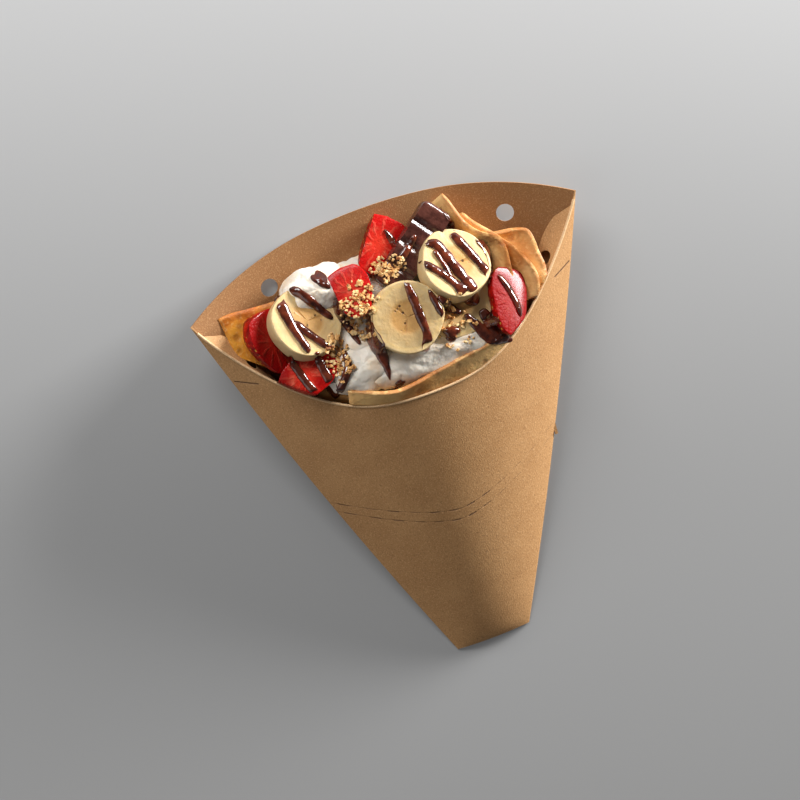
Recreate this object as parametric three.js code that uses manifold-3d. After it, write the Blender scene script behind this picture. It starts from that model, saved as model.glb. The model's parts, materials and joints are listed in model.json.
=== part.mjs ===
// Crepe pouch: a flattened cone folded from one sheet of kraft card, lying on its back panel,
// filled with a folded crepe, whipped cream, banana slices, strawberries, chocolate, sauce and nuts.
// Units are millimetres. +Y runs from the closed-down tip to the mouth, +Z points up from the table.

import * as THREE from 'three';
import { mergeVertices } from 'three/addons/utils/BufferGeometryUtils.js';
import Module from 'manifold-3d';

// Card sheet
const cardThickness = 0.5;
const mouthHalfWidth = 89;
const tipHalfWidth = 17.8;
const foldReach = 200;
const sideBow = 2.4;

// How far the filled pouch stands open
const foldLift = 15;
const frontBulge = 27;
const bulgeGrowth = 0.7;
const tipGap = 1.5;
const flatHalfWidth = 25;

// Edges of the mouth
const rimDip = 59.4;
const rimSharpness = 0.76;
const rimCurvePower = 3;
const backArch = 20;
const rimBeadRadius = 0.55;
const rimSamples = 400;

// Front lobe folded in behind the rim
const lobeLength = 28;
const lobeEndLength = 3;
const lobeDrop = 11;
const lobeTuck = 20;
const lobeTuckPower = 6;
const lobeTuckFade = 16;
const lobeEndShare = 0.985;

// Round holes in the back panel and in the lobe
const holeDiameter = 8;
const holeSpacing = 109;
const holeShift = 4;
const holeSkew = 1.6;
const holeBelowCorners = 0.9;
const lobeHoleAcross = 0.9;
const lobeHoleShare = 0.5;
const lobeHoleDiameter = 6.4;
const cutterDepth = 3;

// Perforated tear strip and short slits on the front panel
const tearFromTip = 96.5;
const tearDip = 19;
const tearCurvePower = 1.5;
const tearStripWidth = 5.5;
const dashLength = 4;
const dashWidth = 0.5;
const dashPitch = 9;
const slitLength = 9;
const slitTurn = 21;
const slitBelowCorner = 33;
const tearTabLength = 8;
const tearTabReach = 1.2;

// Food
const crepeThickness = 2.2;
const crepeGap = 0.8;
const crepeSideShare = 0.74;
const crepeBottom = 42;
const crepeCupFloor = 128;
const crepeAboveRim = 5;
const crepeSquareness = 0.7;
const crepeLeastHalf = 0.4;
const sliceRadius = 16;
const sliceThickness = 9;
const sliceCorner = 1.2;
const berryLength = 30;
const berryRadius = 12.5;
const berryDepth = 1.1;
const barLength = 42;
const barWidth = 15;
const barThickness = 9;
const barGroove = 1.6;
const barGrooves = 3;
const barGrooveSlope = 1.6;
const sauceThickness = 1.3;
const crumbThickness = 3;
const creamRuffle = 0.05;
const creamRuffles = 5;
const creamTwist = 4;
const clearance = 0.3;

// Fineness of the facets
const frontColumns = 32;
const backColumns = 20;
const cardRows = 8;
const rollColumns = 28;
const roundSegments = 24;
const berrySegments = 16;

const wasm = await Module();
wasm.setup();

// Solids and booleans

function makeSolid(vertices, triangles) {
  const solid = new wasm.Manifold(new wasm.Mesh({
    numProp: 3,
    vertProperties: Float32Array.from(vertices),
    triVerts: Uint32Array.from(triangles),
  }));
  if (solid.volume() > 0) {
    return solid;
  }
  const flipped = [];
  for (let i = 0; i < triangles.length; i += 3) {
    flipped.push(triangles[i], triangles[i + 2], triangles[i + 1]);
  }
  return makeSolid(vertices, flipped);
}

function solidOf(geometry) {
  const bare = geometry.clone();
  bare.deleteAttribute('normal');
  bare.deleteAttribute('uv');
  const merged = mergeVertices(bare, 1e-4);
  return makeSolid(merged.getAttribute('position').array, merged.index.array);
}

function largestPiece(solid) {
  const pieces = solid.decompose();
  return pieces.reduce((best, piece) => (piece.volume() > best.volume() ? piece : best));
}

function cutBy(solid, tools) {
  return largestPiece(tools.reduce((rest, tool) => rest.subtract(tool), solid));
}

function joined(solids) {
  return solids.reduce((sum, solid) => sum.add(solid));
}

function geometryOf(solid) {
  const mesh = solid.getMesh();
  const geometry = new THREE.BufferGeometry();
  geometry.setAttribute('position', new THREE.BufferAttribute(new Float32Array(mesh.vertProperties), 3));
  geometry.setIndex(new THREE.BufferAttribute(new Uint32Array(mesh.triVerts), 1));
  geometry.computeVertexNormals();
  return geometry;
}

// A tube wall between an outer and an inner stack of closed loops
function wallSolid(outer, inner) {
  const rows = outer.length;
  const columns = outer[0].length;
  const points = [...outer.flat(), ...inner.flat()];
  const at = (side, row, column) => side * rows * columns + row * columns + (column % columns);
  const triangles = [];
  const quad = (a, b, c, d) => triangles.push(a, b, c, a, c, d);
  for (let column = 0; column < columns; column += 1) {
    for (let row = 0; row < rows - 1; row += 1) {
      quad(at(0, row, column), at(0, row, column + 1), at(0, row + 1, column + 1), at(0, row + 1, column));
      quad(at(1, row, column + 1), at(1, row, column), at(1, row + 1, column), at(1, row + 1, column + 1));
    }
    const top = rows - 1;
    quad(at(1, 0, column), at(1, 0, column + 1), at(0, 0, column + 1), at(0, 0, column));
    quad(at(0, top, column), at(0, top, column + 1), at(1, top, column + 1), at(1, top, column));
  }
  return makeSolid(points.flatMap((p) => [p.x, p.y, p.z]), triangles);
}

// A plug through a stack of closed loops, with a flat fan over each end
function plugSolid(loops) {
  const rows = loops.length;
  const columns = loops[0].length;
  const centreOf = (loop) => loop.reduce((sum, p) => sum.add(p), new THREE.Vector3()).divideScalar(columns);
  const points = [...loops.flat(), centreOf(loops[0]), centreOf(loops.at(-1))];
  const at = (row, column) => row * columns + (column % columns);
  const triangles = [];
  for (let column = 0; column < columns; column += 1) {
    for (let row = 0; row < rows - 1; row += 1) {
      triangles.push(at(row, column), at(row, column + 1), at(row + 1, column + 1));
      triangles.push(at(row, column), at(row + 1, column + 1), at(row + 1, column));
    }
    triangles.push(at(0, column + 1), at(0, column), rows * columns);
    triangles.push(at(rows - 1, column), at(rows - 1, column + 1), rows * columns + 1);
  }
  return makeSolid(points.flatMap((p) => [p.x, p.y, p.z]), triangles);
}

// A sheet of even thickness about a grid of points, grown sideways past its edges by the given length
function grownGrid(grid, grow) {
  const pushed = (point, inner) => point.clone().add(point.clone().sub(inner).setLength(grow));
  const wider = grid.map((line) => [
    pushed(line[0], line[1]), ...line.slice(1, -1), pushed(line.at(-1), line.at(-2)),
  ]);
  const first = wider[0].map((point, column) => pushed(point, wider[1][column]));
  const last = wider.at(-1).map((point, column) => pushed(point, wider.at(-2)[column]));
  return [first, ...wider.slice(1, -1), last];
}

function sheetSolid(bareGrid, bareThickness, extra) {
  const grid = extra > 0 ? grownGrid(bareGrid, extra) : bareGrid;
  const thickness = bareThickness + 2 * extra;
  const rows = grid.length;
  const columns = grid[0].length;
  const normalAt = (row, column) => {
    const along = grid[Math.min(row + 1, rows - 1)][column].clone().sub(grid[Math.max(row - 1, 0)][column]);
    const across = grid[row][Math.min(column + 1, columns - 1)].clone().sub(grid[row][Math.max(column - 1, 0)]);
    return across.cross(along).normalize();
  };
  const points = [];
  for (const side of [0.5, -0.5]) {
    grid.forEach((line, row) => line.forEach((point, column) => {
      points.push(point.clone().addScaledVector(normalAt(row, column), side * thickness));
    }));
  }
  const at = (side, row, column) => side * rows * columns + row * columns + column;
  const triangles = [];
  const quad = (a, b, c, d) => triangles.push(a, b, c, a, c, d);
  for (let row = 0; row < rows - 1; row += 1) {
    for (let column = 0; column < columns - 1; column += 1) {
      quad(at(0, row, column), at(0, row, column + 1), at(0, row + 1, column + 1), at(0, row + 1, column));
      quad(at(1, row, column + 1), at(1, row, column), at(1, row + 1, column), at(1, row + 1, column + 1));
    }
    quad(at(1, row, 0), at(0, row, 0), at(0, row + 1, 0), at(1, row + 1, 0));
    const last = columns - 1;
    quad(at(0, row, last), at(1, row, last), at(1, row + 1, last), at(0, row + 1, last));
  }
  for (let column = 0; column < columns - 1; column += 1) {
    quad(at(1, 0, column), at(1, 0, column + 1), at(0, 0, column + 1), at(0, 0, column));
    const last = rows - 1;
    quad(at(0, last, column), at(0, last, column + 1), at(1, last, column + 1), at(1, last, column));
  }
  return makeSolid(points.flatMap((p) => [p.x, p.y, p.z]), triangles);
}

// Shape of the card: across runs from -1 at the left fold to 1 at the right fold

const clampedPower = (value, power) => Math.max(0, value) ** power;

function halfWidth(y) {
  const share = y / foldReach;
  return tipHalfWidth + (mouthHalfWidth - tipHalfWidth) * share + 4 * sideBow * share * (1 - share);
}

const bulgeAt = (y) => tipGap + (frontBulge - tipGap) * clampedPower(y / foldReach, bulgeGrowth);
const liftAt = (y) => foldLift * y / foldReach;
const flatShare = flatHalfWidth / mouthHalfWidth;

function backHeight(across, y) {
  const curl = Math.max(0, Math.abs(across) - flatShare) / (1 - flatShare);
  return cardThickness / 2 + liftAt(y) * curl ** 2;
}

function frontHeight(across, y) {
  return cardThickness / 2 + liftAt(y) + bulgeAt(y) * (1 - across ** 2);
}

const rimReach = (across) => foldReach
  - rimDip * clampedPower(1 - Math.abs(across) ** rimCurvePower, rimSharpness);
const archReach = (across) => foldReach + backArch * (1 - across ** 2);

const frontPoint = (across, y) => new THREE.Vector3(halfWidth(y) * across, y, frontHeight(across, y));

// Inside corners of the card draw in from the folds by the share of width that the card fills
function insideShare(y) {
  const closing = 2 * bulgeAt(y) + 2 * liftAt(y) / (1 - flatShare);
  return 1 - cardThickness / closing;
}

function cardLoop(step, side, extra) {
  const half = cardThickness / 2 + extra;
  const loop = [];
  const place = (across, isFront) => {
    const y = (isFront ? rimReach(across) : archReach(across)) * step + extra * Math.round(step);
    const reach = side > 0 ? 1 : insideShare(y);
    const shifted = across * reach;
    const atFold = Math.abs(across) > 1 - 1e-9;
    const surface = isFront ? frontHeight(shifted, y) : backHeight(shifted, y);
    const middle = (frontHeight(shifted, y) + backHeight(shifted, y)) / 2;
    const height = atFold ? middle : surface + (isFront ? side : -side) * half;
    const sidestep = atFold && side > 0 ? Math.sign(across) * half : 0;
    return new THREE.Vector3(halfWidth(y) * shifted + sidestep, y, height);
  };
  for (let i = 0; i < frontColumns; i += 1) {
    loop.push(place(-1 + 2 * i / frontColumns, true));
  }
  for (let i = 0; i < backColumns; i += 1) {
    loop.push(place(1 - 2 * i / backColumns, false));
  }
  return loop;
}

function sleeveSolid(extra) {
  const steps = Array.from({ length: cardRows + 1 }, (_, row) => row / cardRows);
  const outer = steps.map((step) => cardLoop(step, 1, extra));
  const inner = steps.map((step) => cardLoop(step, -1, extra));
  return wallSolid(outer, inner);
}

// The lobe leaves the rim and leans in over the back panel near the folds and down into the pouch in the middle
const lobeDepth = (across) => lobeEndLength + (lobeLength - lobeEndLength) * (1 - across ** 2);

function lobePoint(across, share) {
  const start = frontPoint(across, rimReach(across));
  const size = Math.abs(across);
  const tuck = lobeTuck * size ** lobeTuckPower * Math.sqrt(1 - size ** lobeTuckFade);
  const end = new THREE.Vector3(start.x - Math.sign(across) * tuck, start.y - lobeDepth(across), 0);
  const endAcross = THREE.MathUtils.clamp(end.x / halfWidth(end.y), -1, 1);
  const floor = backHeight(endAcross, end.y) + cardThickness + clearance;
  end.z = Math.max(start.z - lobeDrop, Math.min(floor, start.z));
  return start.lerp(end, share);
}

function lobeSolid(extra) {
  const lobeRows = 4;
  const grid = [];
  for (let row = 0; row <= lobeRows; row += 1) {
    const line = [];
    for (let column = 0; column <= frontColumns; column += 1) {
      line.push(lobePoint(lobeEndShare * (-1 + 2 * column / frontColumns), row / lobeRows));
    }
    grid.push(line);
  }
  return sheetSolid(grid, cardThickness, extra);
}

class RimCurve extends THREE.Curve {
  getPoint(share, target = new THREE.Vector3()) {
    const across = lobeEndShare * (-1 + 2 * share);
    return target.copy(frontPoint(across, rimReach(across)));
  }
}

function rimBeadSolid(extra) {
  const beadSides = 3;
  const section = new THREE.Shape();
  section.absarc(0, 0, rimBeadRadius + extra, 0, 2 * Math.PI);
  const path = new RimCurve();
  path.arcLengthDivisions = rimSamples;
  return solidOf(new THREE.ExtrudeGeometry(section, {
    steps: frontColumns, curveSegments: beadSides, extrudePath: path, bevelEnabled: false,
  }));
}

// A cutting tool seated on the front panel: its own Z along the panel's normal, its own X at the given turn
function frontFrame(across, y) {
  const nudge = 0.5;
  const here = frontPoint(across, y);
  const sideways = frontPoint(across + nudge / halfWidth(y), y).sub(here).normalize();
  const lengthways = frontPoint(across, y + nudge).sub(here);
  const normal = sideways.clone().cross(lengthways).normalize();
  const upright = normal.clone().cross(sideways);
  return new THREE.Matrix4().makeBasis(sideways, upright, normal).setPosition(here);
}

function slotTool(across, y, length, turn) {
  const slot = new THREE.BoxGeometry(length, dashWidth, cutterDepth);
  slot.applyMatrix4(new THREE.Matrix4().makeRotationZ(turn));
  slot.applyMatrix4(frontFrame(across, y));
  return solidOf(slot);
}

const tearReach = (across, line) => tearFromTip - line * tearStripWidth
  - tearDip * (1 - Math.min(1, Math.abs(across)) ** tearCurvePower);

function perforations() {
  const tools = [];
  for (const line of [0, 1]) {
    const count = Math.floor(2 * halfWidth(tearFromTip) / dashPitch);
    for (let i = 0; i < count; i += 1) {
      const across = -1 + (2 * i + 1) / count;
      const y = tearReach(across, line);
      const ahead = frontPoint(across + 0.01, tearReach(across + 0.01, line));
      const local = ahead.applyMatrix4(frontFrame(across, y).invert());
      tools.push(slotTool(across, y, dashLength, Math.atan2(local.y, local.x)));
    }
  }
  return tools;
}

function foldSlits() {
  const y = foldReach - slitBelowCorner;
  const across = 1 - (slitLength / 2 + cardThickness) / halfWidth(y);
  const turn = THREE.MathUtils.degToRad(slitTurn);
  return [slotTool(-across, y, slitLength, -turn), slotTool(across, y, slitLength, turn)];
}

function roundTool(diameter, length, matrix) {
  const tool = new THREE.CylinderGeometry(diameter / 2, diameter / 2, length, roundSegments);
  tool.rotateX(Math.PI / 2);
  tool.applyMatrix4(matrix);
  return solidOf(tool);
}

function punchedHoles() {
  const tools = [];
  for (const side of [-1, 1]) {
    const x = side * holeSpacing / 2 + holeShift;
    const y = foldReach - holeBelowCorners - side * holeSkew;
    const height = backHeight(x / halfWidth(y), y);
    const place = new THREE.Matrix4().makeTranslation(x, y, height);
    tools.push(roundTool(holeDiameter, 2 * cutterDepth, place));
    tools.push(lobeHole(side));
  }
  return tools;
}

function lobeHole(side) {
  const step = 0.02;
  const across = side * lobeHoleAcross;
  const centre = lobePoint(across, lobeHoleShare);
  const before = lobePoint(across - step, lobeHoleShare);
  const sideways = lobePoint(across + step, lobeHoleShare).sub(before).normalize();
  const inward = lobePoint(across, 1).sub(lobePoint(across, 0));
  const normal = sideways.clone().cross(inward).normalize();
  const upright = normal.clone().cross(sideways);
  const place = new THREE.Matrix4().makeBasis(sideways, upright, normal).setPosition(centre);
  return roundTool(lobeHoleDiameter, cutterDepth, place);
}

// Pull tab of the tear strip, standing a little proud of the right fold
function tearTab() {
  const y = tearFromTip - tearStripWidth / 2;
  const depth = 2 * tearTabReach;
  const tab = new THREE.BoxGeometry(depth, tearTabLength, cardThickness);
  tab.translate(halfWidth(y), y, frontHeight(1, y));
  return solidOf(tab);
}

function pouchSolid() {
  const body = joined([sleeveSolid(0), lobeSolid(0), rimBeadSolid(0), tearTab()]);
  return cutBy(body, [...perforations(), ...foldSlits(), ...punchedHoles()]);
}

// The mouth plane leans from the back panel's top edge to the lowest point of the front rim.
// Food is placed by its share of the mouth's half width and half length, and its height above that plane.

const rimHeight = frontHeight(0, rimReach(0)) - backHeight(0, foldReach);
const mouthRun = rimDip + backArch;
const mouthLean = Math.atan2(rimHeight, mouthRun);
const mouthHalfLength = Math.hypot(rimHeight, mouthRun) / 2;
const mouthFrame = new THREE.Matrix4()
  .makeRotationX(-mouthLean)
  .setPosition(0, foldReach + backArch - mouthRun / 2, rimHeight / 2 + cardThickness / 2);

function inMouth(across, along, height) {
  const spot = new THREE.Vector3(across * mouthHalfWidth, along * mouthHalfLength, height);
  return spot.applyMatrix4(mouthFrame);
}

// Tilt in degrees about the mouth's own X and Y axes, then a turn about the piece's own axis
function servingFrame(across, along, height, tiltX, tiltY, turn) {
  const angles = [tiltX, tiltY, turn].map(THREE.MathUtils.degToRad);
  const rotation = new THREE.Matrix4().makeRotationFromEuler(new THREE.Euler(...angles, 'XYZ'));
  const spot = new THREE.Matrix4().makeTranslation(across * mouthHalfWidth, along * mouthHalfLength, height);
  return mouthFrame.clone().multiply(spot).multiply(rotation);
}

// Folded crepe: a flattened roll that lines the pouch, with its loose folds laid out at the mouth

// The roll runs under the lobe, and comes back up to the front panel towards its lower end
function lobeSag(across, y) {
  const underLobe = THREE.MathUtils.clamp((rimReach(across) - y) / lobeDepth(across), 0, 1);
  const fade = THREE.MathUtils.clamp((y - crepeBottom) / lobeLength, 0, 1);
  return (lobeDrop + clearance) * underLobe * fade;
}

function rollLoop(step, bottom, inset, extra, grow) {
  const loop = [];
  for (let i = 0; i < rollColumns; i += 1) {
    const angle = 2 * Math.PI * i / rollColumns;
    const across = crepeSideShare * Math.cos(angle);
    const top = Math.sin(angle) >= 0 ? rimReach(across) + crepeAboveRim : foldReach - backArch;
    const y = bottom + (top - bottom) * step + grow * (2 * step - 1);
    const low = backHeight(across, y) + cardThickness + crepeGap;
    const high = frontHeight(across, y) - cardThickness - crepeGap - lobeSag(across, y);
    const middle = (low + high) / 2;
    const half = Math.max((high - low) / 2 - inset + extra, crepeLeastHalf + extra);
    const reach = halfWidth(y) * crepeSideShare - inset + extra;
    const lift = Math.sign(Math.sin(angle)) * Math.abs(Math.sin(angle)) ** crepeSquareness;
    loop.push(new THREE.Vector3(reach * Math.cos(angle), y, middle + half * lift));
  }
  return loop;
}

// The roll is layered right through up to the floor of its cup, which holds the cream
function rollSolid(extra) {
  const rollRows = 6;
  const cupRows = 4;
  const steps = (rows) => Array.from({ length: rows + 1 }, (_, row) => row / rows);
  const roll = plugSolid(steps(rollRows).map((step) => rollLoop(step, crepeBottom, 0, extra, extra)));
  const cupFloor = crepeCupFloor + 2 * extra;
  const cup = steps(cupRows).map((step) => rollLoop(step, cupFloor, crepeThickness, -extra, crepeThickness));
  return roll.subtract(plugSolid(cup));
}

// A fold is a sheet between two edges, each given by its points in the mouth
function foldSolid(edgeA, edgeB, extra) {
  const foldRows = 3;
  const foldColumns = 6;
  const curveA = new THREE.CatmullRomCurve3(edgeA.map((spot) => inMouth(...spot)));
  const curveB = new THREE.CatmullRomCurve3(edgeB.map((spot) => inMouth(...spot)));
  const grid = [];
  for (let row = 0; row <= foldRows; row += 1) {
    const line = [];
    for (let column = 0; column <= foldColumns; column += 1) {
      const share = column / foldColumns;
      line.push(curveA.getPoint(share).lerp(curveB.getPoint(share), row / foldRows));
    }
    grid.push(line);
  }
  return sheetSolid(grid, crepeThickness, extra);
}

function crepeFolds(extra) {
  const leftCorner = foldSolid(
    [[-0.86, 0.44, 0], [-0.64, 0.42, 0.5], [-0.4, 0.38, 0]],
    [[-0.84, 0.02, -3], [-0.62, -0.3, -9], [-0.36, -0.4, -12]], extra);
  const peak = foldSolid(
    [[0.37, 0.86, 3], [0.47, 0.42, 7], [0.57, 0.16, 6], [0.56, -0.5, 3]],
    [[0.3, 0.8, -1.5], [0.36, 0.3, -8], [0.4, 0, -9], [0.44, -0.5, -9]], extra);
  const middle = foldSolid(
    [[0.45, 0.62, 1], [0.56, 0.26, 5], [0.69, -0.16, 4], [0.67, -0.46, 2]],
    [[0.38, 0.6, -4], [0.42, 0.2, -9], [0.46, -0.1, -9], [0.5, -0.44, -8]], extra);
  const corner = foldSolid(
    [[0.55, 0.32, 0], [0.72, 0.22, 1], [0.75, -0.1, 1], [0.72, -0.36, 0]],
    [[0.42, 0.28, -8], [0.5, 0.06, -9], [0.52, -0.16, -9], [0.52, -0.36, -8]], extra);
  return [leftCorner, peak, middle, corner];
}

const pouch = pouchSolid();
const cardTools = [sleeveSolid(clearance), lobeSolid(clearance), rimBeadSolid(clearance)];

const crepe = cutBy(joined([rollSolid(0), ...crepeFolds(0)]), cardTools);
const crepeTools = [rollSolid(clearance), ...crepeFolds(clearance)];

// Banana slices: round discs with softly rounded rims

function sliceSolid(frame, extra) {
  const radius = sliceRadius + extra;
  const half = sliceThickness / 2 + extra;
  const profile = [
    new THREE.Vector2(0, -half),
    new THREE.Vector2(radius - sliceCorner, -half),
    new THREE.Vector2(radius, -half + sliceCorner),
    new THREE.Vector2(radius, half - sliceCorner),
    new THREE.Vector2(radius - sliceCorner, half),
    new THREE.Vector2(0, half),
  ];
  const disc = new THREE.LatheGeometry(profile, roundSegments);
  disc.rotateX(Math.PI / 2);
  disc.applyMatrix4(frame);
  return solidOf(disc);
}

const sliceFrames = {
  banana_slice_left: servingFrame(-0.475, 0.09, 4.5, -10, 14, 0),
  banana_slice_centre: servingFrame(-0.005, -0.2, 10.5, 2, -4, 0),
  banana_slice_right_top: servingFrame(0.295, 0.13, 9.5, -12, 16, 0),
  banana_slice_right_low: servingFrame(0.25, -0.22, 3, 2, 4, 0),
};

// Strawberries: rounded cones cut lengthways, flat side up unless turned

function berrySolid(frame, extra, width, length) {
  const radius = width * berryRadius + extra;
  const reach = length * berryLength / 2 + extra;
  const profile = [
    new THREE.Vector2(0, -reach),
    new THREE.Vector2(0.42 * radius, -0.86 * reach),
    new THREE.Vector2(0.76 * radius, -0.45 * reach),
    new THREE.Vector2(0.97 * radius, 0.1 * reach),
    new THREE.Vector2(0.95 * radius, 0.55 * reach),
    new THREE.Vector2(0.66 * radius, 0.9 * reach),
    new THREE.Vector2(0, reach),
  ];
  const whole = new THREE.LatheGeometry(profile, berrySegments);
  whole.scale(1, 1, berryDepth);
  const keep = new THREE.BoxGeometry(4 * radius, 4 * reach, 4 * radius);
  keep.translate(0, 0, -2 * radius + extra);
  whole.applyMatrix4(frame);
  keep.applyMatrix4(frame);
  return solidOf(whole).intersect(solidOf(keep));
}

const berries = {
  strawberry_left: [servingFrame(-0.65, 0.02, 3, 8, 36, 8), 0.85, 0.95],
  strawberry_front_left: [servingFrame(-0.56, -0.4, 4.5, -6, -6, -62), 0.8, 0.95],
  strawberry_centre_back: [servingFrame(-0.22, 0.22, 12.5, -14, -8, 4), 0.76, 0.8],
  strawberry_top: [servingFrame(-0.01, 0.58, 7, -6, 8, -38), 0.95, 0.9],
  strawberry_right: [servingFrame(0.505, -0.4, 8, -4, 30, -22), 0.75, 1.05],
};

// Chocolate bar: one stick with a grooved upper face, its far end on the back panel

const barFrame = servingFrame(0.14, 0.44, 7.5, 7, 3, -52);

function barSolid(extra) {
  const half = barWidth / 2 + extra;
  const top = barThickness / 2 + extra;
  const outline = new THREE.Shape();
  const reach = barLength / 2 + extra;
  outline.moveTo(-reach, -top);
  outline.lineTo(reach, -top);
  outline.lineTo(reach, top - barGroove);
  for (let i = barGrooves; i > 0; i -= 1) {
    const middle = -reach + 2 * reach * i / (barGrooves + 1);
    outline.lineTo(middle + barGrooveSlope * barGroove, top);
    outline.lineTo(middle, top - barGroove);
    outline.lineTo(middle - barGrooveSlope * barGroove, top);
  }
  outline.lineTo(-reach, top - barGroove);
  const bar = new THREE.ExtrudeGeometry(outline, { depth: 2 * half, bevelEnabled: false });
  bar.translate(0, 0, -half);
  bar.rotateX(Math.PI / 2);
  bar.rotateZ(Math.PI / 2);
  bar.applyMatrix4(barFrame);
  return solidOf(bar);
}

// Whipped cream: a heap of soft mounds under the fruit

function moundSolid(across, along, height, radii, phase) {
  const mound = new THREE.SphereGeometry(1, 16, 8);
  const place = mound.getAttribute('position');
  const point = new THREE.Vector3();
  for (let i = 0; i < place.count; i += 1) {
    point.fromBufferAttribute(place, i);
    const turn = Math.atan2(point.y, point.x);
    const swirl = Math.sin(creamRuffles * turn + phase + creamTwist * point.z);
    const ruffle = 1 + creamRuffle * Math.hypot(point.x, point.y) * swirl;
    place.setXYZ(i, ruffle * radii[0] * point.x, ruffle * radii[1] * point.y, radii[2] * point.z);
  }
  mound.applyMatrix4(servingFrame(across, along, height, 0, 0, 0));
  return solidOf(mound);
}

function creamHeap() {
  return joined([
    moundSolid(-0.04, -0.1, -7, [54, 29, 13], 0),
    moundSolid(-0.36, 0.36, 0, [17, 11, 10], 1),
    moundSolid(0.12, -0.6, 0, [36, 12, 8], 2),
    moundSolid(-0.28, -0.5, -1, [17, 12, 8], 3),
  ]);
}

// Sauce: flat ribbons on the fruit, and pools and drops on the cream

function ribbonShape(points, width) {
  const line = new THREE.CatmullRomCurve3(points.map(([x, y]) => new THREE.Vector3(x, y, 0)));
  const steps = 3 * (points.length - 1);
  const left = [];
  const right = [];
  for (let i = 0; i <= steps; i += 1) {
    const centre = line.getPoint(i / steps);
    const ahead = line.getTangent(i / steps);
    const half = width / 2 * (i === 0 || i === steps ? 0.5 : 1);
    left.push(new THREE.Vector2(centre.x - half * ahead.y, centre.y + half * ahead.x));
    right.push(new THREE.Vector2(centre.x + half * ahead.y, centre.y - half * ahead.x));
  }
  return new THREE.Shape([...left, ...right.reverse()]);
}

function ribbonSolid(frame, seat, points, width, extra) {
  const ribbon = new THREE.ExtrudeGeometry(ribbonShape(points, width + 2 * extra), {
    depth: sauceThickness + 2 * extra, bevelEnabled: false,
  });
  ribbon.translate(0, 0, seat + clearance - extra);
  ribbon.applyMatrix4(frame);
  return solidOf(ribbon);
}

// Ribbon routes as shares of the slice's radius, in the slice's own frame
const sliceRibbons = {
  sauce_left_long: ['banana_slice_left', 3.4, [[-0.46, 0.8], [-0.39, -0.24], [-0.09, -0.8]]],
  sauce_left_upper: ['banana_slice_left', 2.6, [[0.05, 0.9], [0.43, 0.37], [0.82, -0.3]]],
  sauce_left_fork: ['banana_slice_left', 2.4, [[-0.1, 0.04], [0.2, -0.35], [0.48, -0.76]]],
  sauce_centre: ['banana_slice_centre', 3.2, [[0.28, 0.86], [0.27, -0.3], [0.2, -0.9]]],
  sauce_right_long: ['banana_slice_right_top', 4, [[-0.44, 0.78], [0.0, 0.05], [0.4, -0.8]]],
  sauce_right_upper: ['banana_slice_right_top', 3, [[0.3, 0.86], [0.55, 0.3], [0.8, -0.42]]],
  sauce_right_lower: ['banana_slice_right_top', 2.6, [[-0.82, 0.42], [-0.45, -0.1], [-0.05, -0.55]]],
};

function sliceRibbonSolid([slice, width, route], extra) {
  const points = route.map(([x, y]) => [x * sliceRadius, y * sliceRadius]);
  return ribbonSolid(sliceFrames[slice], sliceThickness / 2, points, width, extra);
}

// Low domes laid on the heap: sauce pools and drops, and patches of chopped nuts
const patches = {
  sauce_side_run: ['sauce', [-0.19, -0.33, 7.5], [3.4, 12, 2], 22],
  sauce_drop_back: ['sauce', [-0.34, 0.42, 10.6], [2.6, 4.6, 1.6], 20],
  sauce_blob: ['sauce', [0.18, -0.49, 7], [4, 3.6, 2.2], 0],
  sauce_pool: ['sauce', [0.4, -0.66, 6], [7, 5, 2], -30],
  sauce_drop_front: ['sauce', [-0.13, -0.82, 4.4], [2.8, 1.6, 1.2], 10],
  nut_patch_middle: ['nut', [-0.16, 0.02, 7.5], [7, 10, crumbThickness], 10],
  nut_patch_back: ['nut', [-0.05, 0.14, 9], [6, 5, crumbThickness], 0],
  nut_patch_front: ['nut', [-0.4, -0.36, 5], [6, 8, crumbThickness], -20],
};

function patchSolid([across, along, height], radii, turn, extra) {
  const dome = new THREE.SphereGeometry(1, 12, 6);
  dome.scale(radii[0] + extra, radii[1] + extra, radii[2] + extra);
  dome.applyMatrix4(servingFrame(across, along, height, 0, 0, turn));
  return solidOf(dome);
}

// Each piece gives way, with its clearance, to those placed before it

const looks = {
  card: { color: 0xb98a58, roughness: 0.85, metalness: 0 },
  crepe: { color: 0xe0b070, roughness: 0.7, metalness: 0 },
  cream: { color: 0xf3ece4, roughness: 0.45, metalness: 0 },
  banana: { color: 0xeedda4, roughness: 0.5, metalness: 0 },
  strawberry: { color: 0xc81e1c, roughness: 0.3, metalness: 0 },
  chocolate: { color: 0x3a1c12, roughness: 0.25, metalness: 0 },
  sauce: { color: 0x2c120a, roughness: 0.12, metalness: 0 },
  nut: { color: 0xc89a60, roughness: 0.8, metalness: 0 },
};

const group = new THREE.Group();
const centreY = (foldReach + backArch) / 2;

function addPiece(name, look, solid) {
  const mesh = new THREE.Mesh(geometryOf(solid), new THREE.MeshStandardMaterial(looks[look]));
  mesh.name = name;
  mesh.position.y = -centreY;
  group.add(mesh);
}

addPiece('pouch', 'card', pouch);
addPiece('crepe', 'crepe', crepe);

const placedTools = [...cardTools, ...crepeTools];

for (const [name, frame] of Object.entries(sliceFrames)) {
  addPiece(name, 'banana', cutBy(sliceSolid(frame, 0), placedTools));
  placedTools.push(sliceSolid(frame, clearance));
}

addPiece('chocolate_bar', 'chocolate', cutBy(barSolid(0), placedTools));
placedTools.push(barSolid(clearance));

for (const [name, [frame, width, length]] of Object.entries(berries)) {
  addPiece(name, 'strawberry', cutBy(berrySolid(frame, 0, width, length), placedTools));
  placedTools.push(berrySolid(frame, clearance, width, length));
}

for (const [name, ribbon] of Object.entries(sliceRibbons)) {
  addPiece(name, 'sauce', cutBy(sliceRibbonSolid(ribbon, 0), placedTools));
  placedTools.push(sliceRibbonSolid(ribbon, clearance));
}

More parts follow.
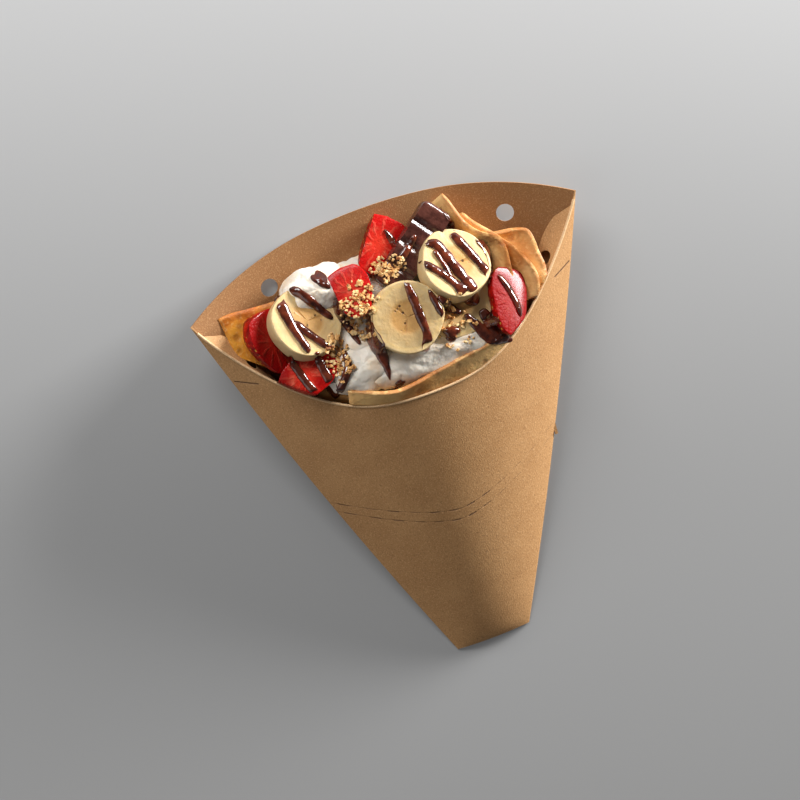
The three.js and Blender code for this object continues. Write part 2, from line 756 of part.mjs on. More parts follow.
for (const [name, [look, spot, radii, turn]] of Object.entries(patches)) {
  addPiece(name, look, cutBy(patchSolid(spot, radii, turn, 0), placedTools));
  placedTools.push(patchSolid(spot, radii, turn, clearance));
}
addPiece('whipped_cream', 'cream', cutBy(creamHeap(), placedTools));

export default group;
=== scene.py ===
"""Crepe pouch: the card sleeve, its crepe and fruit, and the stage, laid out as an add-on run as a script."""
import json
import math
import random

import bmesh
import bpy
from mathutils import Matrix, Vector, noise
from mathutils.bvhtree import BVHTree

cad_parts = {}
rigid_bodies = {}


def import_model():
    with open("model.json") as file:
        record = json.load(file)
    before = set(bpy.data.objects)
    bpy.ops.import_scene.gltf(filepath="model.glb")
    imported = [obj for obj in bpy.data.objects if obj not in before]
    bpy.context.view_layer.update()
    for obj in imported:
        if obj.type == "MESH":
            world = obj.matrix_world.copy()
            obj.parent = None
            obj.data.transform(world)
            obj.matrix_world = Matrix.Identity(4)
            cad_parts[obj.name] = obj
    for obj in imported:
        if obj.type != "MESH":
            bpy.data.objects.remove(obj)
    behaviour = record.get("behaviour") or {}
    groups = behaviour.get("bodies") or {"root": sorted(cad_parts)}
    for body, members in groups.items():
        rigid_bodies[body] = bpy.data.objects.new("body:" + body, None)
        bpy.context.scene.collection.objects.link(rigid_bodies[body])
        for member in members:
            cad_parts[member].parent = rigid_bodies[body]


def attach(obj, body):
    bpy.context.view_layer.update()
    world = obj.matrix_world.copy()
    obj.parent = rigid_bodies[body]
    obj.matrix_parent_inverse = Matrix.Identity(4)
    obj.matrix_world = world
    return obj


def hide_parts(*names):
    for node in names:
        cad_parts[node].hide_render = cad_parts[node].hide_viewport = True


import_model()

bl_info = {
    "name": "Crepe Pouch",
    "version": (1, 0, 0),
    "blender": (4, 5, 0),
    "location": "View3D > Sidebar > Crepe Pouch",
    "description": "Builds a filled kraft card crepe pouch and its stage",
    "category": "Object",
}

MM = 0.001
BODY = "root"
MERGE_DISTANCE = 1e-5

# Spacing and curves of the card, in millimetres where they are lengths
CARD_GAP = 0.25
RIM_SLOPE = 1.4
RIM_SHARPNESS = 3
RIM_POWER = 0.76
BULGE_POWER = 0.7
LOBE_LEAST_DEPTH = 3
LOBE_TUCK = 20
LOBE_TUCK_POWER = 6
LOBE_TUCK_FADE = 16
LOBE_GAP = 0.3
LOBE_SAG = 1.2
LOBE_HOLE_SHARE = 0.9
HOLE_SIDESTEP = 4
HOLE_DROP = 0.9
HOLE_SLANT = 1.6

# Tear strip, its tab and the slits, in millimetres and degrees
TEAR_LINE = 96.5
TEAR_DIP = 19
TEAR_POWER = 1.5
TEAR_STRIP = 5.5
TEAR_DASHES = 6
TAB_REACH = 1.4
TAB_LENGTH = 8
SLIT_LEVEL = 167
SLIT_INSET = 5
SLIT_HALF_LENGTH = 4.7
SLIT_TURN = 21

# Shifts that tell the back, the lobe and the rim apart in the card's UV map
BACK_SHIFT = 4
LOBE_SHIFT = 8
RIM_SHIFT = 10

# The crepe's roll, in millimetres and as a share of the sleeve's width
ROLL_BOTTOM = 42
ROLL_EASE = 28
ROLL_WIDTH = 0.74
ROLL_GAP = 0.8
ROLL_LOBE_GAP = 0.9
ROLL_ABOVE_RIM = 5
CUP_FLOOR = 128

# Banana slices: how far the flat face reaches, and the dent in its middle
FACE_SHARE = 0.93
SLICE_DENT = 0.35

# Chocolate bar: how far its rounded section keeps inside its box, and its grooves
BAR_TRIM = 0.98
BAR_GROOVES = (-0.5, 0, 0.5)
GROOVE_WIDTH = 0.07
GROOVE_DEPTH = 1.5

# Sauce ribbons, in millimetres
STRAND_STEPS = 72
STRAND_RISE = 1.3
STRAND_SINK = 0.7
STRAND_EVENING = 8

# Side of the photograph, in pixels
PHOTO_SIDE = 800

# Camera and lamps, in metres
CAMERA_PLACE = (-0.1470, 0.4317, 0.9845)
CAMERA_AHEAD = (0.1275, -0.3836, -0.9147)
CAMERA_UP = (0.3402, 0.8831, -0.3230)
CAMERA_LENS = 108
CAMERA_SENSOR = 36
KEY_PLACE = (1.28, 0.56, 0.21)
KEY_TARGET = (0, 0.02, 0.01)
KEY_TINT = (1.0, 0.995, 0.985)
TOP_PLACE = (-0.3, 1.25, 0.5)
TOP_TARGET = (0, 0.05, 0)
SIDE_PLACE = (-1.0, -0.1, 0.55)
SIDE_TARGET = (0, 0, 0)


# Places of a node's sockets where their names repeat or could be mistaken
OBJECT_OUTPUT = 3
FACTOR_OUTPUT = 2
COLOUR_OUTPUT = 2
GLOSSY_RAY_OUTPUT = 3
FIRST_COLOUR = 6
SECOND_COLOUR = 7


# Small number helpers

def clamp(value, low=0.0, high=1.0):
    return max(low, min(high, value))


def blend(first, second, share):
    return first + (second - first) * share


def smooth(share):
    share = clamp(share)
    return share * share * (3 - 2 * share)


def power(value, exponent):
    return max(0.0, value) ** exponent


def ripple(point, scale, seed=0.0):
    """Smooth noise between about -1 and 1 at a point, one swell over the given length."""
    return noise.noise(Vector(point) / scale + Vector((seed, seed * 1.7, 0)))


# The card's shape, in millimetres from the tip, with across running from fold to fold as -1 to 1

class CardShape:
    """Formulas of the sleeve: widths, heights and edges of its front, back and lobe."""

    def __init__(self, settings):
        self.thickness = settings.thickness / MM
        self.mouth_half = settings.mouth_half_width / MM
        self.tip_half = settings.tip_half_width / MM
        self.reach = settings.fold_reach / MM
        self.bow = settings.side_bow / MM
        self.lift = settings.fold_lift / MM
        self.bulge = settings.front_bulge / MM
        self.tip_gap = settings.tip_gap / MM
        self.flat_share = settings.flat_half_width / settings.mouth_half_width
        self.dip = settings.rim_dip / MM
        self.arch = settings.back_arch / MM
        self.lobe_length = settings.lobe_length / MM
        self.lobe_drop = settings.lobe_drop / MM
        self.centre_y = (self.reach + self.arch) / 2
        rim_height = self.front_height(0, self.rim_reach(0)) - self.back_height(0, self.reach)
        run = self.dip + self.arch
        self.mouth_half_length = math.hypot(rim_height, run) / 2
        middle = Vector((0, self.reach + self.arch - run / 2, rim_height / 2 + self.thickness / 2))
        lean = math.atan2(rim_height, run)
        self.mouth = Matrix.Translation(middle) @ Matrix.Rotation(-lean, 4, "X")

    def half_width(self, y):
        share = y / self.reach
        straight = blend(self.tip_half, self.mouth_half, share)
        return straight + 4 * self.bow * share * (1 - share)

    def bulge_at(self, y):
        return self.tip_gap + (self.bulge - self.tip_gap) * power(y / self.reach, BULGE_POWER)

    def lift_at(self, y):
        return self.lift * y / self.reach

    def back_height(self, across, y):
        curl = max(0.0, abs(across) - self.flat_share) / (1 - self.flat_share)
        return self.thickness / 2 + self.lift_at(y) * curl ** 2

    def front_height(self, across, y):
        return self.thickness / 2 + self.lift_at(y) + self.bulge_at(y) * (1 - across ** 2)

    def rim_reach(self, across):
        return self.reach - self.dip * power(1 - abs(across) ** RIM_SHARPNESS, RIM_POWER)

    def arch_reach(self, across):
        return self.reach + self.arch * (1 - across ** 2)

    def front_point(self, across, y):
        return Vector((self.half_width(y) * across, y, self.front_height(across, y)))

    def inside_share(self, y):
        closing = 2 * self.bulge_at(y) + 2 * self.lift_at(y) / (1 - self.flat_share)
        return 1 - self.thickness / closing

    def wall_point(self, across, is_front, step, side):
        """A point of the sleeve's outer (side 1) or inner (side -1) face."""
        reach = self.rim_reach(across) if is_front else self.arch_reach(across)
        y = reach * step
        shifted = across if side > 0 else across * self.inside_share(y)
        half = self.thickness / 2
        front = self.front_height(shifted, y)
        back = self.back_height(shifted, y)
        if abs(across) > 1 - 1e-6:
            sidestep = math.copysign(half, across) if side > 0 else 0.0
            return Vector((self.half_width(y) * shifted + sidestep, y, (front + back) / 2))
        height = front + side * half if is_front else back - side * half
        return Vector((self.half_width(y) * shifted, y, height))

    def lobe_depth(self, across):
        return LOBE_LEAST_DEPTH + (self.lobe_length - LOBE_LEAST_DEPTH) * (1 - across ** 2)

    def lobe_point(self, across, share):
        """A point of the lobe folded in behind the rim, share 0 at the rim and 1 at its free edge."""
        start = self.front_point(across, self.rim_reach(across))
        size = abs(across)
        tuck = LOBE_TUCK * size ** LOBE_TUCK_POWER * math.sqrt(max(0.0, 1 - size ** LOBE_TUCK_FADE))
        end = Vector((start.x - math.copysign(tuck, across), start.y - self.lobe_depth(across), 0))
        end_across = clamp(end.x / self.half_width(end.y), -1, 1)
        floor = self.back_height(end_across, end.y) + self.thickness + LOBE_GAP
        end.z = max(start.z - self.lobe_drop, min(floor, start.z))
        sag = LOBE_SAG * math.sin(math.pi * share) * (1 - size ** 4)
        return start.lerp(end, share) - Vector((0, 0, sag))

    def kept_inside(self, point):
        """The point moved off the inner faces of the back, the front and the lobe."""
        y = clamp(point.y, 1, self.reach + self.arch)
        across = clamp(point.x / self.half_width(y), -0.98, 0.98)
        gap = self.thickness / 2 + CARD_GAP
        rim = self.rim_reach(across)
        under = clamp((rim - y) / self.lobe_depth(across))
        low = self.back_height(across, y) + gap
        high = self.front_height(across, min(y, rim)) - gap - self.lobe_drop * under
        high += RIM_SLOPE * max(0.0, y - rim)
        return Vector((point.x, point.y, max(low, min(point.z, high))))

    def in_mouth(self, across, along, height):
        return self.mouth @ Vector((across * self.mouth_half, along * self.mouth_half_length, height))

    def serving(self, across, along, height, tilt_x=0, tilt_y=0, turn=0):
        """A frame on the mouth plane: its place, its tilts and a turn about its own axis, in degrees."""
        spot = Vector((across * self.mouth_half, along * self.mouth_half_length, height))
        turned = Matrix.Rotation(math.radians(tilt_x), 4, "X")
        turned = turned @ Matrix.Rotation(math.radians(tilt_y), 4, "Y")
        turned = turned @ Matrix.Rotation(math.radians(turn), 4, "Z")
        return self.mouth @ Matrix.Translation(spot) @ turned


# Mesh building

class Sculpt:
    """A mesh in the making, in millimetres, that ends as one object in the shared frame."""

    def __init__(self):
        self.mesh = bmesh.new()
        self.uv = self.mesh.loops.layers.uv.new("UVMap")
        self.mark = self.mesh.verts.layers.float.new("mark")

    def grid(self, columns, rows, place, picture=None, mark=None):
        """A grid of quads laid out by place(a, b), where a and b run from 0 to 1."""
        made = bmesh.ops.create_grid(self.mesh, x_segments=columns, y_segments=rows, size=0.5)
        verts = made["verts"]
        shares = {vert: (vert.co.x + 0.5, vert.co.y + 0.5) for vert in verts}
        faces = {face for vert in verts for face in vert.link_faces}
        for face in faces:
            middle = sum((shares[loop.vert][0] for loop in face.loops)) / len(face.loops)
            for loop in face.loops:
                a, b = shares[loop.vert]
                loop[self.uv].uv = picture(a, b, middle) if picture else (a, b)
        for vert in verts:
            a, b = shares[vert]
            vert.co = place(a, b)
            if mark:
                vert[self.mark] = mark(a, b)
        return verts

    def lump(self, detail, place):
        """A small icosphere whose points are moved by place(point)."""
        made = bmesh.ops.create_icosphere(self.mesh, subdivisions=detail, radius=1.0)
        for vert in made["verts"]:
            vert.co = place(vert.co.copy())

    def hold_inside(self, shape):
        for vert in self.mesh.verts:
            vert.co = shape.kept_inside(vert.co)

    def finish(self, name, shape, material, nodes=(), slot=None, sharp=60):
        """Merge doubles, turn the faces outwards and hand the mesh over as an object."""
        bmesh.ops.remove_doubles(self.mesh, verts=self.mesh.verts, dist=MERGE_DISTANCE / MM)
        to_row = Matrix.Scale(MM, 4) @ Matrix.Translation((0, -shape.centre_y, 0))
        bmesh.ops.transform(self.mesh, matrix=to_row, verts=self.mesh.verts)
        bmesh.ops.recalc_face_normals(self.mesh, faces=self.mesh.faces)
        data = bpy.data.meshes.new(name)
        self.mesh.to_mesh(data)
        self.mesh.free()
        data.shade_smooth()
        data.set_sharp_from_angle(angle=math.radians(sharp))
        data.materials.append(material)
        piece = bpy.data.objects.new(name, data)
        bpy.context.scene.collection.objects.link(piece)
        if nodes or slot:
            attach(piece, BODY)
        if nodes:
            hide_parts(*nodes)
        return piece


class Surface:
    """The tops of the pieces laid in the mouth so far, in the mouth plane's own millimetres."""

    def __init__(self, shape, names):
        to_card = Matrix.Translation((0, shape.centre_y, 0)) @ Matrix.Scale(1 / MM, 4)
        to_mouth = shape.mouth.inverted() @ to_card
        points = []
        faces = []
        for piece in bpy.context.scene.objects:
            if piece.type == "MESH" and any(word in piece.name for word in names):
                start = len(points)
                points.extend(to_mouth @ vert.co for vert in piece.data.vertices)
                faces.extend([start + index for index in face.vertices] for face in piece.data.polygons)
        self.tree = BVHTree.FromPolygons(points, faces)

    def height(self, x, y):
        hit = self.tree.ray_cast(Vector((x, y, 80)), Vector((0, 0, -1)))[0]
        return hit.z if hit else 0.0


# Shader building

class Signal:
    """A shader socket that can stand in sums."""

    def __init__(self, tree, socket):
        self.tree = tree
        self.socket = socket

    def math(self, operation, *others):
        values = dict(enumerate((self, *others)))
        return self.tree.node("ShaderNodeMath", {"operation": operation}, values)

    def __add__(self, other):
        return self.math("ADD", other)

    def __radd__(self, other):
        return self.math("ADD", other)

    def __sub__(self, other):
        return self.math("SUBTRACT", other)

    def __rsub__(self, other):
        return self.tree.number(other).math("SUBTRACT", self)

    def __mul__(self, other):
        return self.math("MULTIPLY", other)

    def __rmul__(self, other):
        return self.math("MULTIPLY", other)

    def __pow__(self, other):
        return self.math("POWER", other)

    def __rpow__(self, other):
        return self.tree.number(other).math("POWER", self)

    def __abs__(self):
        return self.math("ABSOLUTE")

    def ramp(self, low, high):
        """0 up to low, 1 from high, smooth between them; low may be the larger one."""
        values = {0: self, 1: low, 2: high, 3: 0.0, 4: 1.0}
        return self.tree.node("ShaderNodeMapRange", {"interpolation_type": "SMOOTHSTEP"}, values)


class Look:
    """A material and its node tree."""

    def __init__(self, name):
        self.material = bpy.data.materials.new(name)
        self.material.use_nodes = True
        self.tree = self.material.node_tree
        self.shader = self.tree.nodes["Principled BSDF"]

    def node(self, kind, settings=None, values=None, output=0):
        """Any node: its settings come first, then its values and links."""
        made = self.tree.nodes.new(kind)
        for name, value in (settings or {}).items():
            setattr(made, name, value)
        for name, value in (values or {}).items():
            self.plug(made.inputs[name], value)
        return Signal(self, made.outputs[output])

    def plug(self, socket, value):
        if isinstance(value, Signal):
            self.tree.links.new(value.socket, socket)
        else:
            socket.default_value = value

    def number(self, value):
        made = self.node("ShaderNodeValue")
        made.socket.default_value = value
        return made

    def place(self):
        return self.node("ShaderNodeTexCoord", output=OBJECT_OUTPUT)

    def parts(self, vector):
        return tuple(self.node("ShaderNodeSeparateXYZ", {}, {0: vector}, output=i) for i in range(3))

    def picture(self):
        """The mesh's own UV as two signals."""
        return self.parts(self.node("ShaderNodeUVMap", {"uv_map": "UVMap"}))[:2]

    def mark(self):
        return self.node("ShaderNodeAttribute", {"attribute_name": "mark"}, output=FACTOR_OUTPUT)

    def stretched(self, vector, scale):
        return self.node("ShaderNodeVectorMath", {"operation": "MULTIPLY"}, {0: vector, 1: scale})

    def cloud(self, vector, scale, detail=3.0, roughness=0.55):
        values = {"Vector": vector, "Scale": scale, "Detail": detail, "Roughness": roughness}
        return self.node("ShaderNodeTexNoise", {}, values)

    def cells(self, vector, scale, randomness=0.8):
        values = {"Vector": vector, "Scale": scale, "Randomness": randomness}
        return self.node("ShaderNodeTexVoronoi", {}, values)

    def mixed(self, share, first, second):
        """A colour between two others."""
        values = {0: share, FIRST_COLOUR: first, SECOND_COLOUR: second}
        return self.node("ShaderNodeMix", {"data_type": "RGBA"}, values, output=COLOUR_OUTPUT)

    def bumped(self, height, distance, strength=1.0):
        values = {"Height": height, "Distance": distance, "Strength": strength}
        return self.node("ShaderNodeBump", {}, values)

    def finish(self, **values):
        """Set the shader's own sockets, given by name with spaces as underscores."""
        for name, value in values.items():
            self.plug(self.shader.inputs[name.replace("_", " ")], value)
        return self.material


def tone(red, green, blue):
    """A colour given by its screen values from 0 to 255."""
    def linear(value):
        share = value / 255
        return share / 12.92 if share <= 0.04045 else ((share + 0.055) / 1.055) ** 2.4
    return (linear(red), linear(green), linear(blue), 1.0)


def shade(colour):
    """A colour setting with its alpha."""
    return (*colour, 1.0)


def card_look(shape, settings):
    """Kraft card: fibres, flecks, the two perforated lines of the tear strip and a slit near each fold, with
    painted shade on the back's inner face and a painted highlight along the rim.
    """
    look = Look("kraft_card")
    place = look.place()
    across, y = look.picture()
    curve = TEAR_LINE - TEAR_DIP * (1 - abs(across) ** TEAR_POWER)
    phase = ((across + 1) * TEAR_DASHES).math("FRACT")
    dash = abs(phase - 0.5).ramp(0.3, 0.2)
    wear = look.cloud(place, 90).ramp(0.3, 0.6)
    on_front = abs(across).ramp(1.02, 1.0)
    upper = abs(y - curve).ramp(0.42, 0.16) * (0.25 + 0.75 * dash)
    lower = abs(y - curve + TEAR_STRIP).ramp(0.42, 0.16) * (0.25 + 0.75 * dash)
    faint = 1 - 0.7 * across.ramp(0.25, 0.5)
    marks = (upper + lower) * on_front * (0.35 + 0.65 * wear) * faint
    width = shape.half_width(SLIT_LEVEL)
    seat = 1 - SLIT_INSET / width
    for side in (-1, 1):
        turn = math.radians(SLIT_TURN * side)
        right = (across - side * seat) * width
        up = y - SLIT_LEVEL
        along = right * math.cos(turn) + up * math.sin(turn)
        beside = up * math.cos(turn) - right * math.sin(turn)
        on_slit = abs(along).ramp(SLIT_HALF_LENGTH, SLIT_HALF_LENGTH - 0.5) * abs(beside).ramp(0.55, 0.2)
        marks = marks + on_slit
    marks = marks.math("MINIMUM", 1.0)
    mottle = look.cloud(place, 55, 4)
    fleck = look.cloud(place, 1500, 2, 0.7)
    fibre = look.cloud(look.stretched(place, (1.0, 0.22, 1.0)), 2400, 2)
    base = look.mixed(mottle.ramp(0.3, 0.7), shade(settings.card_colour), tone(196, 147, 95))
    # Painted shade: the back's inner face is given a darker colour in place of the shade inside the pouch.
    on_back = across.ramp(BACK_SHIFT - 2, BACK_SHIFT - 1.5) * across.ramp(BACK_SHIFT + 2, BACK_SHIFT + 1.5)
    base = look.mixed(on_back, base, shade(settings.inner_shade_colour))
    # Painted highlight: the rolled rim is lightened as if it caught the light.
    on_rim = across.ramp(RIM_SHIFT - 0.8, RIM_SHIFT - 0.4)
    base = look.mixed(on_rim * 0.7, base, tone(244, 210, 164))
    base = look.mixed(fleck.ramp(0.5, 0.66) * (0.55 - 0.3 * on_back), base, tone(226, 180, 128))
    base = look.mixed(fibre.ramp(0.54, 0.72) * 0.5, base, tone(132, 90, 52))
    base = look.mixed(marks * 0.75, base, tone(84, 52, 28))
    height = fleck * 0.6 + fibre * 0.4 - marks * 2.0
    return look.finish(
        Base_Color=base,
        Roughness=0.62 + 0.2 * fleck,
        Normal=look.bumped(height, 0.00016),
    )


def crepe_look(settings):
    """Pan-browned crepe: yellow batter with orange rings and brown spots."""
    look = Look("browned_crepe")
    place = look.place()
    broad = look.cloud(place, 45, 4)
    spots = look.cells(place, 160, 1.0)
    fine = look.cloud(place, 700, 3)
    toasted = look.parts(place)[0].ramp(-0.03, -0.06)
    pale = look.mixed(toasted, shade(settings.crepe_colour), tone(230, 158, 52))
    brown = look.mixed(toasted, tone(198, 134, 66), tone(186, 92, 14))
    base = look.mixed(broad.ramp(0.4, 0.66), pale, brown)
    base = look.mixed(spots.ramp(0.36, 0.12) * 0.5, base, tone(146, 78, 26))
    base = look.mixed(fine.ramp(0.5, 0.7) * 0.35, base, tone(242, 200, 130))
    browned = look.mark() * look.cloud(place, 210, 3).ramp(0.36, 0.54)
    base = look.mixed(browned * 0.7, base, tone(174, 98, 38))
    height = broad * 1.4 + fine * 0.5 - spots.ramp(0.35, 0.1) * 0.3
    return look.finish(
        Base_Color=base,
        Roughness=0.42 + 0.2 * fine,
        Normal=look.bumped(height, 0.0006),
        Subsurface_Weight=0.08,
        Subsurface_Radius=(0.002, 0.001, 0.0005),
    )


def cream_look(settings):
    """Whipped cream: off-white, a little warmer in its swells."""
    look = Look("whipped_cream")
    place = look.place()
    swell = look.cloud(place, 120, 3)
    fine = look.cloud(place, 900, 2)
    base = look.mixed(swell.ramp(0.4, 0.7), shade(settings.cream_colour), tone(236, 215, 188))
    return look.finish(
        Base_Color=base,
        Roughness=0.5 + 0.15 * fine,
        Normal=look.bumped(swell + fine * 0.1 + look.cloud(place, 260, 2) * 0.5, 0.0008),
        Specular_IOR_Level=0.25,
        Subsurface_Weight=0.35,
        Subsurface_Radius=(0.003, 0.0026, 0.0022),
    )


def banana_look(settings):
    """A banana slice: pale rim, threefold core with brown seeds, fine radial streaks."""
    look = Look("banana_flesh")
    place = look.place()
    x, y = look.picture()
    radius = (x * x + y * y).math("SQRT")
    angle = y.math("ARCTAN2", x)
    three = abs((angle * 1.5).math("SINE"))
    streaks = look.cloud(look.stretched(place, (1.0, 1.0, 0.4)), 420, 3)
    swell = look.cloud(place, 130, 3)
    base = look.mixed(radius.ramp(0.3, 0.95), tone(200, 163, 108), shade(settings.banana_colour))
    base = look.mixed(swell.ramp(0.42, 0.64) * 0.4, base, tone(204, 168, 116))
    core = radius.ramp(0.52, 0.38)
    base = look.mixed(core * 0.8, base, tone(196, 146, 84))
    rays = three.ramp(0.3, 0.06) * radius.ramp(0.5, 0.3)
    base = look.mixed(rays * 0.65, base, tone(160, 108, 48))
    seeds = look.cells(place, 480, 0.9).ramp(0.36, 0.22) * three.ramp(0.62, 0.34)
    seeds = seeds * radius.ramp(0.44, 0.36) * radius.ramp(0.06, 0.12)
    base = look.mixed(seeds * 0.9, base, tone(66, 36, 16))
    ring = abs(radius - 0.86).ramp(0.07, 0.01)
    base = look.mixed(ring * 0.3, base, tone(226, 190, 118))
    base = look.mixed(streaks.ramp(0.5, 0.75) * 0.3, base, tone(214, 170, 96))
    height = streaks * 0.5 + swell - core * 0.4 - seeds * 0.6 - rays * 0.4
    return look.finish(
        Base_Color=base,
        Roughness=0.3 + 0.25 * swell,
        Normal=look.bumped(height, 0.0005),
        Specular_IOR_Level=0.35,
        Subsurface_Weight=0.12,
        Subsurface_Radius=(0.003, 0.002, 0.001),
    )


def strawberry_look(settings):
    """Strawberry: a wet cut face with a pale core and veins, red skin with seeds in dimples, and painted
    shade on the pieces far to the right and left.
    """
    look = Look("strawberry_flesh")
    place = look.place()
    cut = look.mark()
    x, y = look.picture()
    radius = (x * x + y * y * 0.8).math("SQRT")
    angle = y.math("ARCTAN2", x)
    wave = look.cloud(place, 260, 3)
    veins = (angle * 11 + wave * 5).math("SINE").ramp(0.5, 1.0)
    veins = veins * radius.ramp(0.2, 0.4) * radius.ramp(0.9, 0.7)
    # Painted shade: the pieces lying far to the right and to the left get darker flesh.
    outer = look.parts(place)[0]
    painted_shade = outer.ramp(0.03, 0.038) + outer.ramp(-0.054, -0.06) * 0.8
    flesh = look.mixed(radius.ramp(0.05, 0.7), tone(212, 52, 34), shade(settings.berry_colour))
    pale = look.cloud(place, 210, 4).ramp(0.5, 0.72) * radius.ramp(0.75, 0.2)
    flesh = look.mixed(pale * 0.5, flesh, tone(232, 138, 104))
    flesh = look.mixed(veins * 0.2, flesh, tone(236, 120, 90))
    flesh = look.mixed(painted_shade * 0.85, flesh, tone(118, 4, 4))
    near = look.cells(place, 330, 0.35)
    seed = near.ramp(0.24, 0.16)
    skin = look.mixed(wave.ramp(0.35, 0.65), tone(118, 8, 6), tone(176, 16, 10))
    skin = look.mixed(seed * 0.85, skin, tone(226, 170, 70))
    base = look.mixed(cut.ramp(0.35, 0.65), skin, flesh)
    dimple = near.ramp(0.1, 0.5) * (1 - cut.ramp(0.35, 0.65))
    height = wave * 0.8 + dimple + veins * 0.4 + look.cloud(place, 900, 2) * 0.7
    return look.finish(
        Base_Color=base,
        Roughness=0.3 + 0.2 * wave,
        Normal=look.bumped(height, 0.0005),
        Specular_IOR_Level=0.06,
        Coat_Weight=0.2,
        Coat_Roughness=0.14,
        Subsurface_Weight=0.05,
        Subsurface_Radius=(0.004, 0.001, 0.0006),
    )


def chocolate_look(settings):
    """Moulded chocolate: two browns under a thin gloss."""
    look = Look("chocolate")
    place = look.place()
    swell = look.cloud(place, 150, 3)
    fine = look.cloud(place, 900, 2)
    base = look.mixed(swell.ramp(0.35, 0.65), shade(settings.chocolate_colour), tone(92, 50, 40))
    return look.finish(
        Base_Color=base,
        Roughness=0.16 + 0.22 * swell,
        Normal=look.bumped(swell + 0.2 * fine, 0.0007),
        Coat_Weight=0.4,
    )


def sauce_look(settings):
    """Chocolate sauce: dark and wet."""
    look = Look("chocolate_sauce")
    place = look.place()
    swell = look.cloud(place, 240, 2)
    base = look.mixed(swell.ramp(0.35, 0.7), shade(settings.sauce_colour), tone(104, 44, 24))
    return look.finish(
        Base_Color=base,
        Roughness=0.08 + 0.1 * swell,
        Normal=look.bumped(swell, 0.0004),
        Coat_Weight=0.6,
    )


def nut_look(settings):
    """Chopped nuts: pale flesh with scraps of brown skin."""
    look = Look("chopped_nuts")
    place = look.place()
    broad = look.cloud(place, 330, 1)
    fine = look.cloud(place, 1400, 3)
    base = look.mixed(broad.ramp(0.42, 0.52), shade(settings.nut_colour), tone(212, 156, 88))
    base = look.mixed(broad.ramp(0.6, 0.66), base, tone(150, 88, 40))
    base = look.mixed(fine.ramp(0.5, 0.7) * 0.3, base, tone(244, 214, 160))
    return look.finish(
        Base_Color=base,
        Roughness=0.5 + 0.3 * fine,
        Normal=look.bumped(fine, 0.0003),
    )


def floor_look(settings):
    """Plain grey floor with a painted glow that grows towards the far side; only the camera and reflections
    see the glow, so it does not light the pouch.
    """
    look = Look("plain_floor")
    place = look.place()
    grain = look.cloud(place, 3, 2)
    x, y = look.parts(place)[:2]
    up = x * 0.36 + y * 0.93
    base = look.mixed(grain, shade(settings.floor_colour), tone(172, 172, 172))
    # Painted light: an emission that brightens the floor towards the far side.
    painted_glow = look.mixed(up.ramp(-0.05, 0.45), (0.035, 0.035, 0.035, 1), (0.46, 0.46, 0.46, 1))
    seen = look.node("ShaderNodeLightPath") + look.node("ShaderNodeLightPath", output=GLOSSY_RAY_OUTPUT)
    painted_glow = look.mixed(seen.math("MINIMUM", 1.0), (0, 0, 0, 1), painted_glow)
    return look.finish(
        Base_Color=base,
        Roughness=0.9 + 0.05 * grain,
        Emission_Color=painted_glow,
        Emission_Strength=1.0,
    )


# Pieces

def punch(sculpt, place, radius, depth):
    """Cut a round hole through both faces of the card at a placed frame, and close its wall."""
    back = place.inverted()

    def inside(vert, reach):
        local = back @ vert.co
        return local.xy.length < reach and abs(local.z) < depth

    doomed = [vert for vert in sculpt.mesh.verts if inside(vert, radius)]
    bmesh.ops.delete(sculpt.mesh, geom=doomed, context="VERTS")
    edges = [edge for edge in sculpt.mesh.edges
             if edge.is_boundary and all(inside(vert, radius + 3) for vert in edge.verts)]
    for vert in {vert for edge in edges for vert in edge.verts}:
        local = back @ vert.co
        spread = local.xy.normalized() * radius
        vert.co = place @ Vector((spread.x, spread.y, local.z))
    bmesh.ops.bridge_loops(sculpt.mesh, edges=edges)


